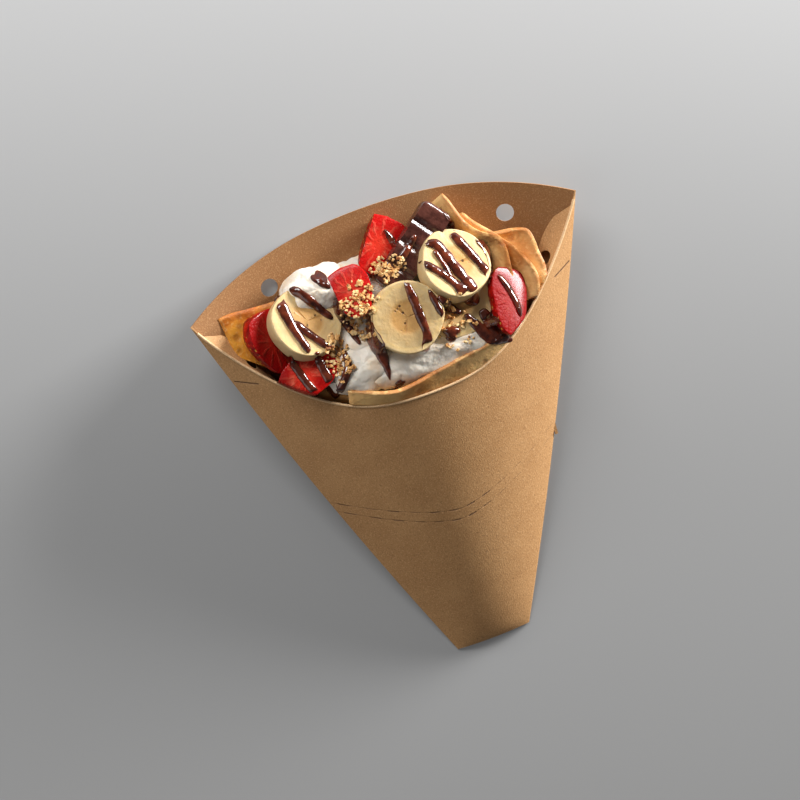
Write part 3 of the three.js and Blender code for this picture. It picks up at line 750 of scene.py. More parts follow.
def make_card(shape, settings):
    """The whole folded sheet: sleeve, punched holes, rolled rim, lobe and the tear strip's tab."""
    sculpt = Sculpt()
    front_share = 0.55
    rows = 110
    top_row = 0.5
    last_row = top_row - 0.5 / (2 * rows + 1)

    def wall(a, b):
        if a <= front_share:
            across, is_front = -1 + 2 * a / front_share, True
        else:
            across, is_front = 1 - 2 * (a - front_share) / (1 - front_share), False
        side = 1 if b < top_row else -1
        step = (b if side > 0 else 1 - b) / last_row
        return shape.wall_point(clamp(across, -1, 1), is_front, clamp(step), side)

    def picture(a, b, middle):
        if middle <= front_share:
            across = -1 + 2 * a / front_share
        else:
            across = BACK_SHIFT + 1 - 2 * (a - front_share) / (1 - front_share)
        step = b / top_row if b < top_row else (1 - b) / top_row
        reach = shape.rim_reach(clamp(across, -1, 1)) if middle <= front_share else shape.reach
        return (across, reach * clamp(step))

    sculpt.grid(280, 2 * rows + 1, wall, picture)
    bmesh.ops.remove_doubles(sculpt.mesh, verts=sculpt.mesh.verts, dist=1e-4)
    for side in (-1, 1):
        x = side * settings.hole_spacing / MM / 2 + HOLE_SIDESTEP
        y = shape.reach - HOLE_DROP - side * HOLE_SLANT
        middle = Vector((x, y, shape.back_height(x / shape.half_width(y), y)))
        slope = shape.back_height((x + 1) / shape.half_width(y), y) - middle.z
        level = Matrix.Rotation(-math.atan(slope), 4, "Y")
        punch(sculpt, Matrix.Translation(middle) @ level, settings.hole_diameter / MM / 2, 3)

    bead = settings.bead_radius / MM

    def rim(a, b):
        across = 0.992 * (-1 + 2 * a)
        here = shape.front_point(across, shape.rim_reach(across))
        ahead = shape.front_point(across + 0.004, shape.rim_reach(across + 0.004)) - here
        ahead.normalize()
        level = ahead.cross(Vector((0, 0, 1))).normalized()
        upright = level.cross(ahead)
        angle = 2 * math.pi * b
        return here + bead * (level * math.cos(angle) + upright * math.sin(angle))

    sculpt.grid(200, 10, rim, lambda a, b, middle: (RIM_SHIFT + a, 100))

    def lobe(a, b):
        side = 1 if b < 0.5 else -1
        share = clamp(b * 2.1) if side > 0 else clamp((1 - b) * 2.1)
        across = 0.985 * (-1 + 2 * a)
        here = shape.lobe_point(across, share)
        beside = shape.lobe_point(across + 0.005, share) - shape.lobe_point(across - 0.005, share)
        inward = shape.lobe_point(across, 1) - shape.lobe_point(across, 0)
        return here + beside.cross(inward).normalized() * side * shape.thickness / 2

    sculpt.grid(240, 41, lobe, lambda a, b, middle: (LOBE_SHIFT + a, 100 * b))
    bmesh.ops.remove_doubles(sculpt.mesh, verts=sculpt.mesh.verts, dist=1e-4)
    for across in (-LOBE_HOLE_SHARE, LOBE_HOLE_SHARE):
        middle = shape.lobe_point(across, 0.5)
        level = (shape.lobe_point(across + 0.02, 0.5) - shape.lobe_point(across - 0.02, 0.5)).normalized()
        inward = shape.lobe_point(across, 1) - shape.lobe_point(across, 0)
        normal = level.cross(inward).normalized()
        turned = Matrix((level, normal.cross(level), normal)).transposed().to_4x4()
        punch(sculpt, Matrix.Translation(middle) @ turned, settings.lobe_hole_diameter / MM / 2, 1)
    tab_y = TEAR_LINE - TEAR_STRIP / 2
    tab = bmesh.ops.create_cube(sculpt.mesh, size=1.0)
    tab_place = Matrix.Translation((shape.half_width(tab_y), tab_y, shape.front_height(1, tab_y)))
    tab_place = tab_place @ Matrix.Diagonal((TAB_REACH, TAB_LENGTH, shape.thickness, 1))
    bmesh.ops.transform(sculpt.mesh, matrix=tab_place, verts=tab["verts"])
    return sculpt.finish("card_pouch", shape, card_look(shape, settings), ["pouch"], sharp=32)


def roll_point(shape, turn, step, inset, bottom):
    """A point of the crepe's roll: turn goes around it, step runs from its bottom to its top edge."""
    angle = 2 * math.pi * turn
    across = ROLL_WIDTH * math.cos(angle)
    frontness = smooth(0.5 + 2.5 * math.sin(angle))
    top = blend(shape.reach - shape.arch, shape.rim_reach(across) + ROLL_ABOVE_RIM, frontness)
    y = blend(bottom, top, step)
    under_lobe = clamp((shape.rim_reach(across) - y) / shape.lobe_depth(across))
    sag = (shape.lobe_drop + ROLL_LOBE_GAP) * under_lobe * clamp((y - ROLL_BOTTOM) / ROLL_EASE)
    low = shape.back_height(across, y) + shape.thickness + ROLL_GAP
    high = shape.front_height(across, y) - shape.thickness - ROLL_GAP - sag
    half = max((high - low) / 2 - inset, 0.4)
    reach = shape.half_width(y) * ROLL_WIDTH - inset
    lift = math.copysign(abs(math.sin(angle)) ** 0.7, math.sin(angle))
    return Vector((reach * math.cos(angle), y, (low + high) / 2 + half * lift))


# Sheets of the crepe: the free edge and the seated edge, as shares of the mouth and a height
FOLDS = (
    (((-0.86, 0.44, 0), (-0.64, 0.42, 0.5), (-0.4, 0.38, 0)),
     ((-0.84, 0.02, -3), (-0.62, -0.3, -9), (-0.36, -0.4, -12))),
    (((0.37, 0.86, 3), (0.47, 0.42, 7), (0.57, 0.16, 6), (0.56, -0.5, 3)),
     ((0.3, 0.8, -1.5), (0.36, 0.3, -8), (0.4, 0, -9), (0.44, -0.5, -9))),
    (((0.45, 0.62, 1), (0.56, 0.26, 5), (0.69, -0.16, 4), (0.67, -0.46, 2)),
     ((0.38, 0.6, -4), (0.42, 0.2, -9), (0.46, -0.1, -9), (0.5, -0.44, -8))),
    (((0.55, 0.32, 0), (0.72, 0.22, 1), (0.75, -0.1, 1), (0.72, -0.36, 0)),
     ((0.42, 0.28, -8), (0.5, 0.06, -9), (0.52, -0.16, -9), (0.52, -0.36, -8))),
    (((-0.4, -0.7, 2.5), (-0.26, -0.8, 4), (-0.13, -0.86, 4.5), (0.07, -0.8, 5), (0.32, -0.73, 5),
      (0.46, -0.68, 3.5)),
     ((-0.4, -0.84, -2), (-0.26, -0.93, -2), (-0.13, -0.97, -2), (0.07, -0.98, -2), (0.32, -0.92, -2),
      (0.46, -0.84, -2))),
)


def curve_point(points, share):
    """A smooth line through the points."""
    spots = [Vector(point) for point in points]
    count = len(spots) - 1
    index = min(int(share * count), count - 1)
    local = share * count - index
    before = spots[index - 1] if index > 0 else 2 * spots[0] - spots[1]
    after = spots[index + 2] if index + 2 <= count else 2 * spots[count] - spots[count - 1]
    start, end = spots[index], spots[index + 1]
    pull = (end - before) * 0.5
    push = (after - start) * 0.5
    a = 2 * local ** 3 - 3 * local ** 2 + 1
    b = local ** 3 - 2 * local ** 2 + local
    c = -2 * local ** 3 + 3 * local ** 2
    d = local ** 3 - local ** 2
    return start * a + pull * b + end * c + push * d


def make_crepe(shape, settings):
    sculpt = Sculpt()
    thick = settings.crepe_thickness / MM

    def cup(a, b):
        if b < 0.45:
            point = roll_point(shape, a, b / 0.45, 0, ROLL_BOTTOM)
        elif b < 0.9:
            point = roll_point(shape, a, 1 - (b - 0.45) / 0.45 * 0.9, thick, CUP_FLOOR)
        else:
            ring = roll_point(shape, a, 0.1, thick, CUP_FLOOR)
            middle = Vector((0, ring.y, ring.z * 0.2 + 12))
            point = ring.lerp(middle, (b - 0.9) / 0.1)
        sway = ripple(point, 17) * 0.9 + ripple(point, 6, 5) * 0.35
        return point + Vector((0, sway * 1.6, sway))

    sculpt.grid(160, 90, cup)
    for number, (edge_a, edge_b) in enumerate(FOLDS):
        line_a = [shape.in_mouth(*spot) for spot in edge_a]
        line_b = [shape.in_mouth(*spot) for spot in edge_b]

        def middle_point(u, v, line_a=line_a, line_b=line_b, number=number):
            point = curve_point(line_a, clamp(u)).lerp(curve_point(line_b, clamp(u)), v)
            free = (1 - clamp(v)) ** 0.7
            wave = 1.5 * math.sin(9 * u + 2 * number) + 1.4 * ripple(point, 9, number)
            return point + Vector((0.5 * wave, 0.2 * wave, 0.5 * ripple(point, 5, 3))) * free

        def fold(a, b, middle_point=middle_point):
            """A sheet with a rounded free edge: b runs down one side and up the other."""
            angle = math.pi * (b - 0.5)
            v = abs(2 * b - 1)
            here = middle_point(a, v)
            right = middle_point(a + 0.02, v) - middle_point(a - 0.02, v)
            down = middle_point(a, v + 0.05) - middle_point(a, v - 0.05)
            normal = right.cross(down).normalized()
            edge = min(1.0, v / 0.08)
            ends = min(1.0, a / 0.03, (1 - a) / 0.03)
            round_off = math.sqrt(max(0.0, 1 - (1 - edge) ** 2)) * math.sqrt(max(0.0, 1 - (1 - ends) ** 2))
            return here + normal * math.copysign(thick / 2 * round_off, angle)

        sculpt.grid(60, 64, fold, mark=lambda a, b: 1 - smooth(abs(2 * b - 1) / 0.16))
    sculpt.hold_inside(shape)
    return sculpt.finish("crepe_sheets", shape, crepe_look(settings), ["crepe"])


# Mounds of cream: place in the mouth, radii and a phase of their ridges
MOUNDS = (
    ((-0.04, -0.1, -7), (54, 29, 13), 0),
    ((-0.36, 0.36, 0), (17, 11, 10), 1),
    ((0.1, -0.6, -1), (38, 11.5, 8), 2),
    ((-0.28, -0.5, -1), (17, 12, 8), 3),
)


def make_cream(shape, settings):
    sculpt = Sculpt()
    for spot, radii, phase in MOUNDS:
        place = shape.serving(*spot)

        def soft(a, b, place=place, radii=radii, phase=phase):
            turn = 2 * math.pi * a
            rise = math.pi * (b - 0.5)
            flat = math.cos(rise)
            swirl = math.sin(6 * turn + phase + 5 * math.sin(rise)) * 0.05 * flat
            point = Vector((math.cos(turn) * flat * radii[0], math.sin(turn) * flat * radii[1],
                            math.sin(rise) * radii[2]))
            curl = Vector((point.x + 3 * math.sin(point.y / 4), point.y, point.z))
            swell = 1 + swirl + 0.1 * ripple(curl, 8, phase) + 0.05 * abs(ripple(curl, 4, phase))
            return place @ (point * swell)

        sculpt.grid(160, 90, soft)
    sculpt.hold_inside(shape)
    return sculpt.finish("whipped_cream_heap", shape, cream_look(settings), ["whipped_cream"])


# Place in the mouth, height, tilts and turn of each slice
SLICES = {
    "banana_slice_left": (-0.475, 0.09, 4.5, -10, 14, 0),
    "banana_slice_centre": (-0.005, -0.2, 10.5, 2, -4, 0),
    "banana_slice_right_top": (0.295, 0.13, 9.5, -12, 16, 0),
    "banana_slice_right_low": (0.25, -0.22, 3, 2, 4, 0),
}


def make_bananas(shape, settings):
    look = banana_look(settings)
    radius = settings.slice_radius / MM
    half = settings.slice_thickness / MM / 2
    for number, (node, spot) in enumerate(SLICES.items()):
        sculpt = Sculpt()
        place = shape.serving(*spot)

        def outline(a, b, number=number):
            """From the middle of the top face over the soft rim to the middle of the bottom face."""
            turn = 2 * math.pi * a
            uneven = 1 + 0.018 * math.sin(3 * turn + number) + 0.012 * math.sin(5 * turn + 2 * number)
            if 0.25 < b < 0.75:
                angle = 2 * math.pi * (b - 0.5)
                spread = FACE_SHARE + (1 - FACE_SHARE) * abs(math.cos(angle)) ** 0.5
                height = -half * math.copysign(abs(math.sin(angle)) ** 0.8, angle)
            else:
                spread = FACE_SHARE * min(b, 1 - b) / 0.25
                dent = SLICE_DENT * math.exp(-(spread / 0.35) ** 2)
                height = math.copysign(half - dent, 0.5 - b)
            around = Vector((math.cos(turn), math.sin(turn), 0))
            lump = 0.25 * ripple((around + Vector((0, 0, b))) * spread * 16, 5, number)
            return around * radius * uneven * spread + Vector((0, 0, height + lump * spread))

        def picture(a, b, middle):
            point = outline(a, b)
            return (point.x / radius, point.y / radius)

        sculpt.grid(96, 56, lambda a, b: place @ outline(a, b), picture)
        sculpt.hold_inside(shape)
        sculpt.finish(f"{node}_flesh", shape, look, [node])


# Place of each berry piece, its width and length as shares of a full one, and how far its flank is cut
BERRIES = {
    "strawberry_left": ((-0.65, 0.02, 3, 8, 36, 8), 0.85, 0.95, 1.0),
    "strawberry_front_left": ((-0.56, -0.4, 4.5, -6, -6, -62), 0.85, 1.0, 0.8),
    "strawberry_centre_back": ((-0.22, 0.22, 12.5, -14, -8, 4), 0.76, 0.8, 0.7),
    "strawberry_top": ((-0.01, 0.58, 7, -6, 8, -38), 0.95, 0.9, 0.5),
    "strawberry_right": ((0.505, -0.4, 8, -4, 30, -22), 0.75, 1.05, 1.0),
}

BERRY_PROFILE = ((0, -1), (0.42, -0.86), (0.76, -0.45), (0.97, 0.1), (0.95, 0.55), (0.66, 0.9), (0, 1))


def make_strawberries(shape, settings):
    look = strawberry_look(settings)
    for number, (node, (spot, width, length, cut)) in enumerate(BERRIES.items()):
        sculpt = Sculpt()
        place = shape.serving(*spot)
        radius = width * settings.berry_radius / MM
        reach = length * settings.berry_length / MM / 2

        def outline(a, b, radius=radius, reach=reach, number=number, cut=cut):
            """A half cone, cut flat at one flank: the skin hangs below, the cut face is a low dome."""
            side = curve_point([(x, y, 0) for x, y in BERRY_PROFILE], b)
            turn = 2 * math.pi * a
            out = max(0.0, side.x) * radius
            depth = math.sin(turn)
            height = out * depth * (0.07 if depth > 0 else 1.1)
            flank = max(out * math.cos(turn), -cut * radius)
            point = Vector((flank, side.y * reach, height))
            return point * (1 + 0.035 * ripple(point, 6, number))

        def picture(a, b, middle, radius=radius, reach=reach):
            point = outline(a, b)
            return (point.x / radius, point.y / reach)

        sculpt.grid(72, 60, lambda a, b: place @ outline(a, b), picture,
                    lambda a, b: smooth(math.sin(2 * math.pi * a) * 8))
        sculpt.hold_inside(shape)
        sculpt.finish(f"{node}_piece", shape, look, [node])


def make_bar(shape, settings):
    sculpt = Sculpt()
    place = shape.serving(0.14, 0.44, 7.5, 7, 3, -52)
    half_length = settings.bar_length / MM / 2
    half_width = settings.bar_width / MM / 2
    half_height = settings.bar_height / MM / 2

    def outline(a, b):
        turn = 2 * math.pi * a
        along = 2 * b - 1
        end = math.sqrt(max(0.0, 1 - abs(along) ** 24))
        side, rise = math.cos(turn), math.sin(turn)
        square = max(abs(side), abs(rise), 1e-6) ** 0.86
        x = half_width * side / square * BAR_TRIM
        z = half_height * rise / square * BAR_TRIM
        groove = max(math.exp(-((along - spot) / GROOVE_WIDTH) ** 2) for spot in BAR_GROOVES)
        if rise > 0:
            z -= GROOVE_DEPTH * groove * rise
        point = Vector((x * end, along * half_length, z * end))
        return place @ (point + Vector((0, 0, 0.3 * ripple(point, 7))))

    sculpt.grid(64, 120, outline)
    sculpt.hold_inside(shape)
    return sculpt.finish("chocolate_stick", shape, chocolate_look(settings), ["chocolate_bar"])


# Routes picked on the photograph: a height over the mouth plane, then points of a column, a row and
# the ribbon's width there in millimetres
RIBBONS = {
    "sauce_left_long": (9, (
        (278, 295, 4.6), (285, 313, 5), (295, 331, 4), (303, 343, 3.6), (309, 353, 3.4))),
    "sauce_left_upper": (10, ((290, 287, 4.4), (305, 297, 4), (321, 309, 3.4), (334, 318, 3))),
    "sauce_left_fork": (9, ((294, 321, 2.6), (305, 331, 3.6), (319, 341, 3.6), (332, 349, 3))),
    "sauce_centre": (15, ((405, 280, 3.4), (413, 299, 4), (421, 319, 4), (427, 335, 4), (427, 352, 6))),
    "sauce_right_long": (14, (
        (425, 243, 3.6), (438, 245, 4.6), (451, 261, 5), (463, 277, 5), (476, 292, 7))),
    "sauce_right_upper": (14, ((453, 232, 4.4), (467, 247, 4.4), (481, 263, 4), (493, 278, 4))),
    "sauce_right_lower": (14, (
        (419, 262, 3.6), (435, 270, 3.6), (451, 281, 4), (465, 293, 6), (482, 301, 7))),
    "sauce_side_run": (10, (
        (369, 312, 2.2), (370, 327, 2.6), (376, 343, 5.6), (385, 359, 4.6), (392, 380, 1.6))),
}

STRANDS = (
    (6, ((288, 357, 3), (297, 369, 3.6), (307, 383, 3.6), (319, 396, 3))),
    (6, ((315, 352, 3.6), (323, 369, 4), (333, 387, 4), (339, 397, 3))),
    (14, ((428, 290, 2), (435, 303, 3), (443, 318, 2.2))),
    (11, ((436, 297, 2), (447, 305, 3.6), (463, 313, 3))),
    (14, ((434, 250, 2.6), (445, 267, 2.8), (450, 280, 2.6))),
    (10, ((477, 238, 2.6), (488, 249, 4), (493, 268, 3))),
    (7, ((465, 314, 3.6), (479, 327, 5), (492, 337, 6), (503, 334, 3))),
    (9, ((482, 309, 4), (494, 326, 6))),
    (9, ((499, 274, 2.4), (509, 287, 3), (518, 303, 2.8), (522, 316, 2))),
    (8, ((385, 229, 1.8), (392, 240, 3.2), (394, 248, 1.6))),
    (11, ((442, 206, 2.4), (452, 220, 3.4), (456, 230, 2.6))),
    (11, ((415, 235, 2.6), (406, 251, 3.6), (396, 266, 2.6))),
    (11, ((335, 300, 2.2), (340, 313, 3), (349, 325, 3.4), (362, 344, 2.6))),
    (6, ((343, 348, 2.6), (348, 366, 3.4), (343, 385, 3.6), (337, 398, 3))),
)

# Place on the mouth plane, radii, turn and thickness
POOLS = {
    "sauce_drop_back": ((-29.8, 19.2), (3, 4.6), 20, 1.4),
    "sauce_blob": ((15.9, -21.5), (3.6, 3.4), 0, 2),
    "sauce_pool": ((35, -29.5), (6, 4), -30, 1.6),
    "sauce_drop_front": ((-12.2, -34.6), (2.4, 1.5), 10, 1.2),
}

FRUIT_NAMES = ("_flesh", "_piece", "chocolate_stick", "whipped_cream_heap", "crepe_sheets")


def evened(values, passes):
    """Values with their sharp steps worn down."""
    for _ in range(passes):
        padded = [values[0], *values, values[-1]]
        values = [(padded[i] + 2 * padded[i + 1] + padded[i + 2]) / 4 for i in range(len(values))]
    return values


def camera_axes():
    """The camera's right, up and ahead directions."""
    ahead = Vector(CAMERA_AHEAD).normalized()
    right = ahead.cross(Vector(CAMERA_UP)).normalized()
    return right, right.cross(ahead), ahead


def seen_on_mouth(shape, height, route):
    """A route picked on the photograph, brought along the camera's rays to its height over the mouth."""
    right, up, ahead = camera_axes()
    to_mouth = shape.mouth.inverted() @ Matrix.Translation((0, shape.centre_y, 0)) @ Matrix.Scale(1 / MM, 4)
    eye = to_mouth @ Vector(CAMERA_PLACE)
    pixel = CAMERA_SENSOR / CAMERA_LENS / PHOTO_SIDE
    spots = []
    for column, row, width in route:
        aside = right * (column - PHOTO_SIDE / 2) * pixel
        below = -up * (row - PHOTO_SIDE / 2) * pixel
        ray = to_mouth.to_3x3() @ (ahead + aside + below)
        spot = eye + ray * ((height - eye.z) / ray.z)
        spots.append((round(spot.x, 1), round(spot.y, 1), width))
    return spots


def add_strand(sculpt, shape, surface, route, number):
    """A rounded ribbon of sauce along a route on the mouth plane, lying on whatever is below it."""
    steps = STRAND_STEPS
    line = [curve_point(route, i / steps) for i in range(steps + 1)]
    widths = [spot.z for spot in line]
    spots = [Vector((spot.x, spot.y, 0)) for spot in line]
    sides = []
    for i in range(steps + 1):
        ahead = (spots[min(i + 1, steps)] - spots[max(i - 1, 0)]).normalized()
        sides.append(Vector((-ahead.y, ahead.x, 0)))
    edges = []
    for hand in (-1, 1):
        reached = [spot + side * hand * width / 2 for spot, side, width in zip(spots, sides, widths)]
        edges.append(evened([surface.height(spot.x, spot.y) for spot in reached], STRAND_EVENING))

    def ribbon(a, b):
        index = min(round(b * steps), steps)
        here = spots[index]
        end = math.sqrt(max(0.0, 1 - abs(2 * b - 1) ** 8))
        swell = (1 + 0.22 * ripple(here, 3.5, number)) * end
        angle = 2 * math.pi * a
        side = math.cos(angle)
        rise = math.sin(angle)
        base = blend(edges[0][index], edges[1][index], (side + 1) / 2)
        point = here + sides[index] * side * widths[index] / 2 * swell
        point.z = base + (STRAND_RISE * swell if rise > 0 else STRAND_SINK) * rise
        return shape.mouth @ point

    sculpt.grid(20, steps, ribbon)


def make_sauce(shape, settings):
    look = sauce_look(settings)
    surface = Surface(shape, FRUIT_NAMES)
    for number, (node, (height, spots)) in enumerate(RIBBONS.items()):
        sculpt = Sculpt()
        add_strand(sculpt, shape, surface, seen_on_mouth(shape, height, spots), number)
        sculpt.finish(f"{node}_ribbon", shape, look, [node])
    sculpt = Sculpt()
    for number, (height, spots) in enumerate(STRANDS):
        add_strand(sculpt, shape, surface, seen_on_mouth(shape, height, spots), number + 20)
    sculpt.finish("sauce_strands", shape, look, slot="sauce")
    for number, (node, (spot, radii, turn, thick)) in enumerate(POOLS.items()):
        sculpt = Sculpt()
        centre = Vector(spot)
        turned = Matrix.Rotation(math.radians(turn), 2)

        def pool(a, b, centre=centre, turned=turned, radii=radii, thick=thick, number=number):
            angle = 2 * math.pi * a
            rise = math.pi * (b - 0.5)
            flat = max(0.0, math.cos(rise))
            uneven = 1 + 0.16 * math.sin(3 * angle + number) + 0.08 * math.sin(5 * angle + 2)
            local = Vector((radii[0] * math.cos(angle), radii[1] * math.sin(angle))) * flat * uneven
            level = centre + turned @ local
            middle = surface.height(*centre)
            base = clamp(surface.height(*level), middle - 3, middle + 2)
            return shape.mouth @ Vector((level.x, level.y, base + thick * math.sin(rise)))

        sculpt.grid(48, 24, pool)
        sculpt.finish(f"{node}_pool", shape, look, [node])


# Place on the mouth plane, radii and number of crumbs
CRUMBS = {
    "nut_patch_middle": ((-18, 1), (9, 13), 190),
    "nut_patch_back": ((-1, 14), (8, 6), 90),
    "nut_patch_front": ((-34, -15), (6, 11), 110),
    "": ((19, -18), (12, 12), 40),
}

CLEAR_SLICE = ((-0.4, -8.5), 15)


def make_nuts(shape, settings):
    look = nut_look(settings)
    surface = Surface(shape, (*FRUIT_NAMES, "_ribbon", "_pool", "sauce_strands"))
    dice = random.Random(settings.seed)
    for node, (centre, radii, count) in CRUMBS.items():
        sculpt = Sculpt()
        for _ in range(count):
            out = dice.random() ** 0.7
            angle = dice.uniform(0, 2 * math.pi)
            x = centre[0] + radii[0] * out * math.cos(angle)
            y = centre[1] + radii[1] * out * math.sin(angle)
            if (Vector((x, y)) - Vector(CLEAR_SLICE[0])).length < CLEAR_SLICE[1]:
                continue
            size = settings.nut_size / MM * dice.uniform(0.45, 1.15)
            sizes = [size * dice.uniform(0.6, 1.2) for _ in range(3)]
            about = Matrix.Rotation(dice.uniform(0, 6.3), 3, "Z")
            turned = about @ Matrix.Rotation(dice.uniform(0, 6.3), 3, "X")
            seed = dice.uniform(0, 50)
            spot = Vector((x, y, surface.height(x, y) + size * 0.45))

            def crumb(point, spot=spot, sizes=sizes, turned=turned, seed=seed):
                block = Vector(clamp(value * 1.25, -0.8, 0.8) for value in point)
                block = block * (1 + 0.35 * ripple(block, 0.8, seed))
                return shape.mouth @ (spot + turned @ Vector(block[i] * sizes[i] for i in range(3)))

            sculpt.lump(2, crumb)
        if node:
            sculpt.finish(f"{node}_crumbs", shape, look, [node], sharp=30)
        else:
            sculpt.finish("loose_crumbs", shape, look, slot="nut", sharp=30)


def add_lamp(name, place, target, width, height, energy):
    """A flat lamp at a place, turned to its target."""
    light = bpy.data.lights.new(name, "AREA")
    light.energy = energy
    light.shape = "RECTANGLE"
    light.size = width
    light.size_y = height
    lamp = bpy.data.objects.new(name, light)
    lamp.location = Vector(place)
    lamp.rotation_euler = (Vector(target) - lamp.location).to_track_quat("-Z", "Y").to_euler()
    bpy.context.scene.collection.objects.link(lamp)
    return lamp


def make_stage(shape, settings):
    sculpt = Sculpt()
    half = settings.floor_size / MM / 2
    sculpt.grid(4, 4, lambda a, b: Vector(((2 * a - 1) * half, (2 * b - 1) * half, 0)))
    floor = sculpt.finish("floor", shape, floor_look(settings))
    key = add_lamp("key", KEY_PLACE, KEY_TARGET, settings.key_width, settings.key_height, settings.key_power)
    key.data.color = KEY_TINT
    top = add_lamp("top", TOP_PLACE, TOP_TARGET, settings.top_width, settings.top_height, settings.top_power)
    side = add_lamp(
        "side", SIDE_PLACE, SIDE_TARGET, settings.side_width, settings.side_width, settings.side_power)
    world = bpy.data.worlds.new("plain")
    world.use_nodes = True
    sky = world.node_tree.nodes["Background"]
    sky.inputs["Color"].default_value = (1, 1, 1, 1)
    sky.inputs["Strength"].default_value = settings.sky_power
    bpy.context.scene.world = world
    eye = bpy.data.cameras.new("camera")
    eye.lens = CAMERA_LENS
    eye.sensor_width = CAMERA_SENSOR
    camera = bpy.data.objects.new("camera", eye)
    right, up, ahead = camera_axes()
    turned = Matrix((right, up, -ahead)).transposed().to_4x4()
    camera.matrix_world = Matrix.Translation(CAMERA_PLACE) @ turned
    bpy.context.scene.collection.objects.link(camera)
    bpy.context.scene.camera = camera
    bpy.context.scene.view_settings.view_transform = "Standard"


# Settings

def length(name, description, default):
    return bpy.props.FloatProperty(
        name=name, description=description, default=default, min=0.0, precision=4,
        unit="LENGTH", subtype="DISTANCE")


def tint(name, description, screen_tone):
    return bpy.props.FloatVectorProperty(
        name=name, description=description, default=tone(*screen_tone)[:3], min=0.0, max=1.0,
        subtype="COLOR")


class CardSettings(bpy.types.PropertyGroup):
    """Sizes and colours of the folded card."""

    card_colour: tint("Card Colour", "Colour of the kraft card", (186, 137, 86))
    # Painted shade: a darker colour for the back's inner face, in place of the shade inside the pouch.
    inner_shade_colour: tint("Inner Colour", "Colour of the back's inner face", (150, 104, 60))
    thickness: length("Thickness", "Thickness of the card", 0.0005)
    mouth_half_width: length("Mouth Half Width", "Half the width between the mouth's corners", 0.089)
    tip_half_width: length("Tip Half Width", "Half the width of the tip", 0.0178)
    fold_reach: length("Fold Reach", "Length from the tip to the mouth's corners", 0.2)
    side_bow: length("Side Bow", "How far the folds bow out", 0.0024)
    fold_lift: length("Fold Lift", "Height of the folds at the mouth", 0.015)
    front_bulge: length("Front Bulge", "How far the front stands above the folds", 0.027)
    tip_gap: length("Tip Gap", "How far the tip stands open", 0.0015)
    flat_half_width: length("Flat Half Width", "Half the width of the back's flat part", 0.025)
    rim_dip: length("Rim Dip", "Depth of the front rim's curve", 0.0594)
    back_arch: length("Back Arch", "Height of the back's arched edge", 0.02)
    lobe_length: length("Lobe Length", "Depth of the lobe in the middle", 0.028)
    lobe_drop: length("Lobe Drop", "How far the lobe leans down", 0.011)
    hole_spacing: length("Hole Spacing", "Distance between the two holes", 0.109)
    hole_diameter: length("Hole Diameter", "Diameter of the holes in the back", 0.008)
    lobe_hole_diameter: length("Lobe Hole Diameter", "Diameter of the holes in the lobe", 0.0064)
    bead_radius: length("Rim Radius", "Radius of the folded rim", 0.0006)


class FoodSettings(bpy.types.PropertyGroup):
    """Sizes and colours of the serving."""

    crepe_colour: tint("Crepe Colour", "Colour of the pale batter", (234, 188, 122))
    cream_colour: tint("Cream Colour", "Colour of the cream", (240, 231, 217))
    banana_colour: tint("Banana Colour", "Colour of the slices near their rim", (212, 185, 136))
    berry_colour: tint("Strawberry Colour", "Colour of the cut faces near their rim", (176, 16, 12))
    chocolate_colour: tint("Chocolate Colour", "Dark colour of the bar", (62, 30, 24))
    sauce_colour: tint("Sauce Colour", "Dark colour of the sauce", (62, 22, 12))
    nut_colour: tint("Nut Colour", "Colour of the nut flesh", (240, 204, 144))
    crepe_thickness: length("Crepe Thickness", "Thickness of the crepe", 0.0022)
    slice_radius: length("Slice Radius", "Radius of the banana slices", 0.016)
    slice_thickness: length("Slice Thickness", "Thickness of the banana slices", 0.009)
    berry_radius: length("Berry Radius", "Radius of a full strawberry", 0.0125)
    berry_length: length("Berry Length", "Length of a full strawberry", 0.03)
    bar_length: length("Bar Length", "Length of the chocolate bar", 0.042)
    bar_width: length("Bar Width", "Width of the chocolate bar", 0.015)
    bar_height: length("Bar Height", "Height of the chocolate bar", 0.009)
    nut_size: length("Nut Size", "Half the size of a nut crumb", 0.00095)
    seed: bpy.props.IntProperty(name="Seed", description="Seed of the crumbs' places", default=7)


class StageSettings(bpy.types.PropertyGroup):
    """Floor and light."""

    floor_colour: tint("Floor Colour", "Colour of the floor", (168, 168, 168))
    floor_size: length("Floor Size", "Side of the floor", 6.0)
    key_width: length("Key Width", "Width of the key light", 0.7)
    key_height: length("Key Height", "Height of the key light", 0.26)
    top_width: length("Back Width", "Width of the light behind the mouth", 0.9)
    top_height: length("Back Height", "Height of the light behind the mouth", 0.35)
    side_width: length("Side Width", "Width of the weak light from the left", 0.9)
    key_power: bpy.props.FloatProperty(
        name="Key Power", description="Power of the key light", default=52.0, unit="POWER")
    top_power: bpy.props.FloatProperty(
        name="Back Power", description="Power of the soft light behind the mouth", default=15.0, unit="POWER")
    side_power: bpy.props.FloatProperty(
        name="Side Power", description="Power of the weak light from the left", default=2.5, unit="POWER")
    sky_power: bpy.props.FloatProperty(
        name="Sky Power", description="Strength of the light all around", default=0.075)


class MakeCard(bpy.types.Operator):
    """Build the folded card pouch"""

    bl_idname = "crepe_pouch.make_card"
    bl_label = "Card Pouch"

    def execute(self, context):
        make_card(CardShape(context.scene.crepe_card), context.scene.crepe_card)
        return {"FINISHED"}


class MakeCrepe(bpy.types.Operator):
    """Build the folded crepe"""

    bl_idname = "crepe_pouch.make_crepe"
    bl_label = "Crepe"

    def execute(self, context):
        make_crepe(CardShape(context.scene.crepe_card), context.scene.crepe_food)
        return {"FINISHED"}


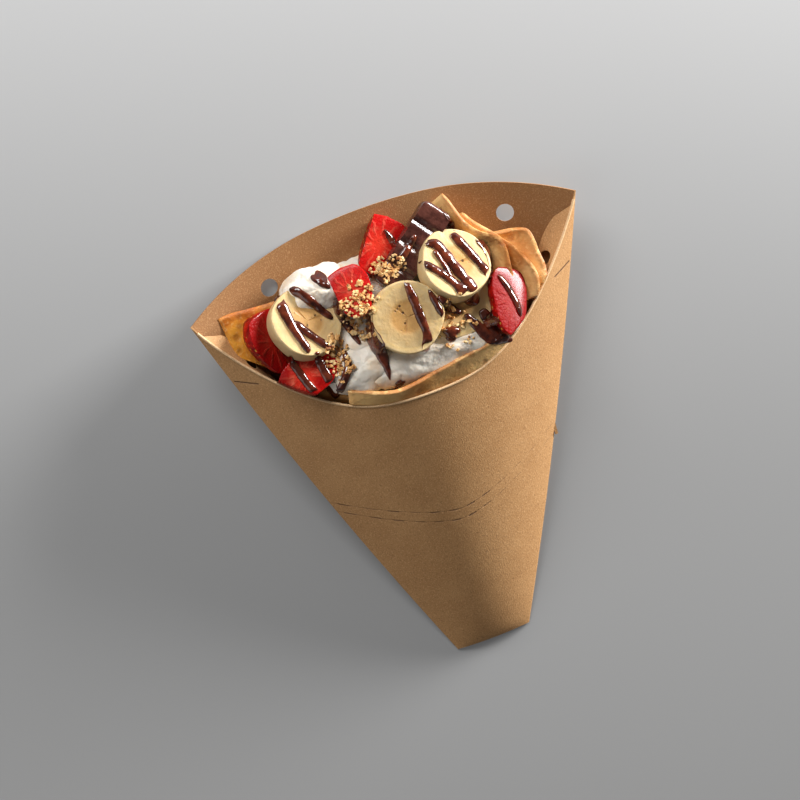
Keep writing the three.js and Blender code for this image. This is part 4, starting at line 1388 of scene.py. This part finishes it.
class MakeCream(bpy.types.Operator):
    """Build the whipped cream"""

    bl_idname = "crepe_pouch.make_cream"
    bl_label = "Whipped Cream"

    def execute(self, context):
        make_cream(CardShape(context.scene.crepe_card), context.scene.crepe_food)
        return {"FINISHED"}


class MakeFruit(bpy.types.Operator):
    """Build the banana slices and the strawberries"""

    bl_idname = "crepe_pouch.make_fruit"
    bl_label = "Fruit"

    def execute(self, context):
        shape = CardShape(context.scene.crepe_card)
        make_bananas(shape, context.scene.crepe_food)
        make_strawberries(shape, context.scene.crepe_food)
        return {"FINISHED"}


class MakeTopping(bpy.types.Operator):
    """Build the chocolate bar, the sauce and the nuts"""

    bl_idname = "crepe_pouch.make_topping"
    bl_label = "Chocolate and Nuts"

    def execute(self, context):
        shape = CardShape(context.scene.crepe_card)
        make_bar(shape, context.scene.crepe_food)
        make_sauce(shape, context.scene.crepe_food)
        make_nuts(shape, context.scene.crepe_food)
        return {"FINISHED"}


class MakeStage(bpy.types.Operator):
    """Build the floor, the lights and the camera"""

    bl_idname = "crepe_pouch.make_stage"
    bl_label = "Stage"

    def execute(self, context):
        make_stage(CardShape(context.scene.crepe_card), context.scene.crepe_stage)
        return {"FINISHED"}


OPERATORS = (MakeCard, MakeCrepe, MakeCream, MakeFruit, MakeTopping, MakeStage)


class CrepePouchPanel(bpy.types.Panel):
    """Sidebar panel with one button for each group of pieces"""

    bl_idname = "VIEW3D_PT_crepe_pouch"
    bl_label = "Crepe Pouch"
    bl_space_type = "VIEW_3D"
    bl_region_type = "UI"
    bl_category = "Crepe Pouch"

    def draw(self, context):
        for operator in OPERATORS:
            self.layout.operator(operator.bl_idname)


CLASSES = (CardSettings, FoodSettings, StageSettings, *OPERATORS, CrepePouchPanel)


def register():
    for one in CLASSES:
        bpy.utils.register_class(one)
    bpy.types.Scene.crepe_card = bpy.props.PointerProperty(type=CardSettings)
    bpy.types.Scene.crepe_food = bpy.props.PointerProperty(type=FoodSettings)
    bpy.types.Scene.crepe_stage = bpy.props.PointerProperty(type=StageSettings)


def unregister():
    del bpy.types.Scene.crepe_stage
    del bpy.types.Scene.crepe_food
    del bpy.types.Scene.crepe_card
    for one in reversed(CLASSES):
        bpy.utils.unregister_class(one)


def main():
    """Register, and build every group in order."""
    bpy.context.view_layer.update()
    register()
    bpy.ops.crepe_pouch.make_card()
    bpy.ops.crepe_pouch.make_crepe()
    bpy.ops.crepe_pouch.make_cream()
    bpy.ops.crepe_pouch.make_fruit()
    bpy.ops.crepe_pouch.make_topping()
    bpy.ops.crepe_pouch.make_stage()


if __name__ == "__main__":
    main()
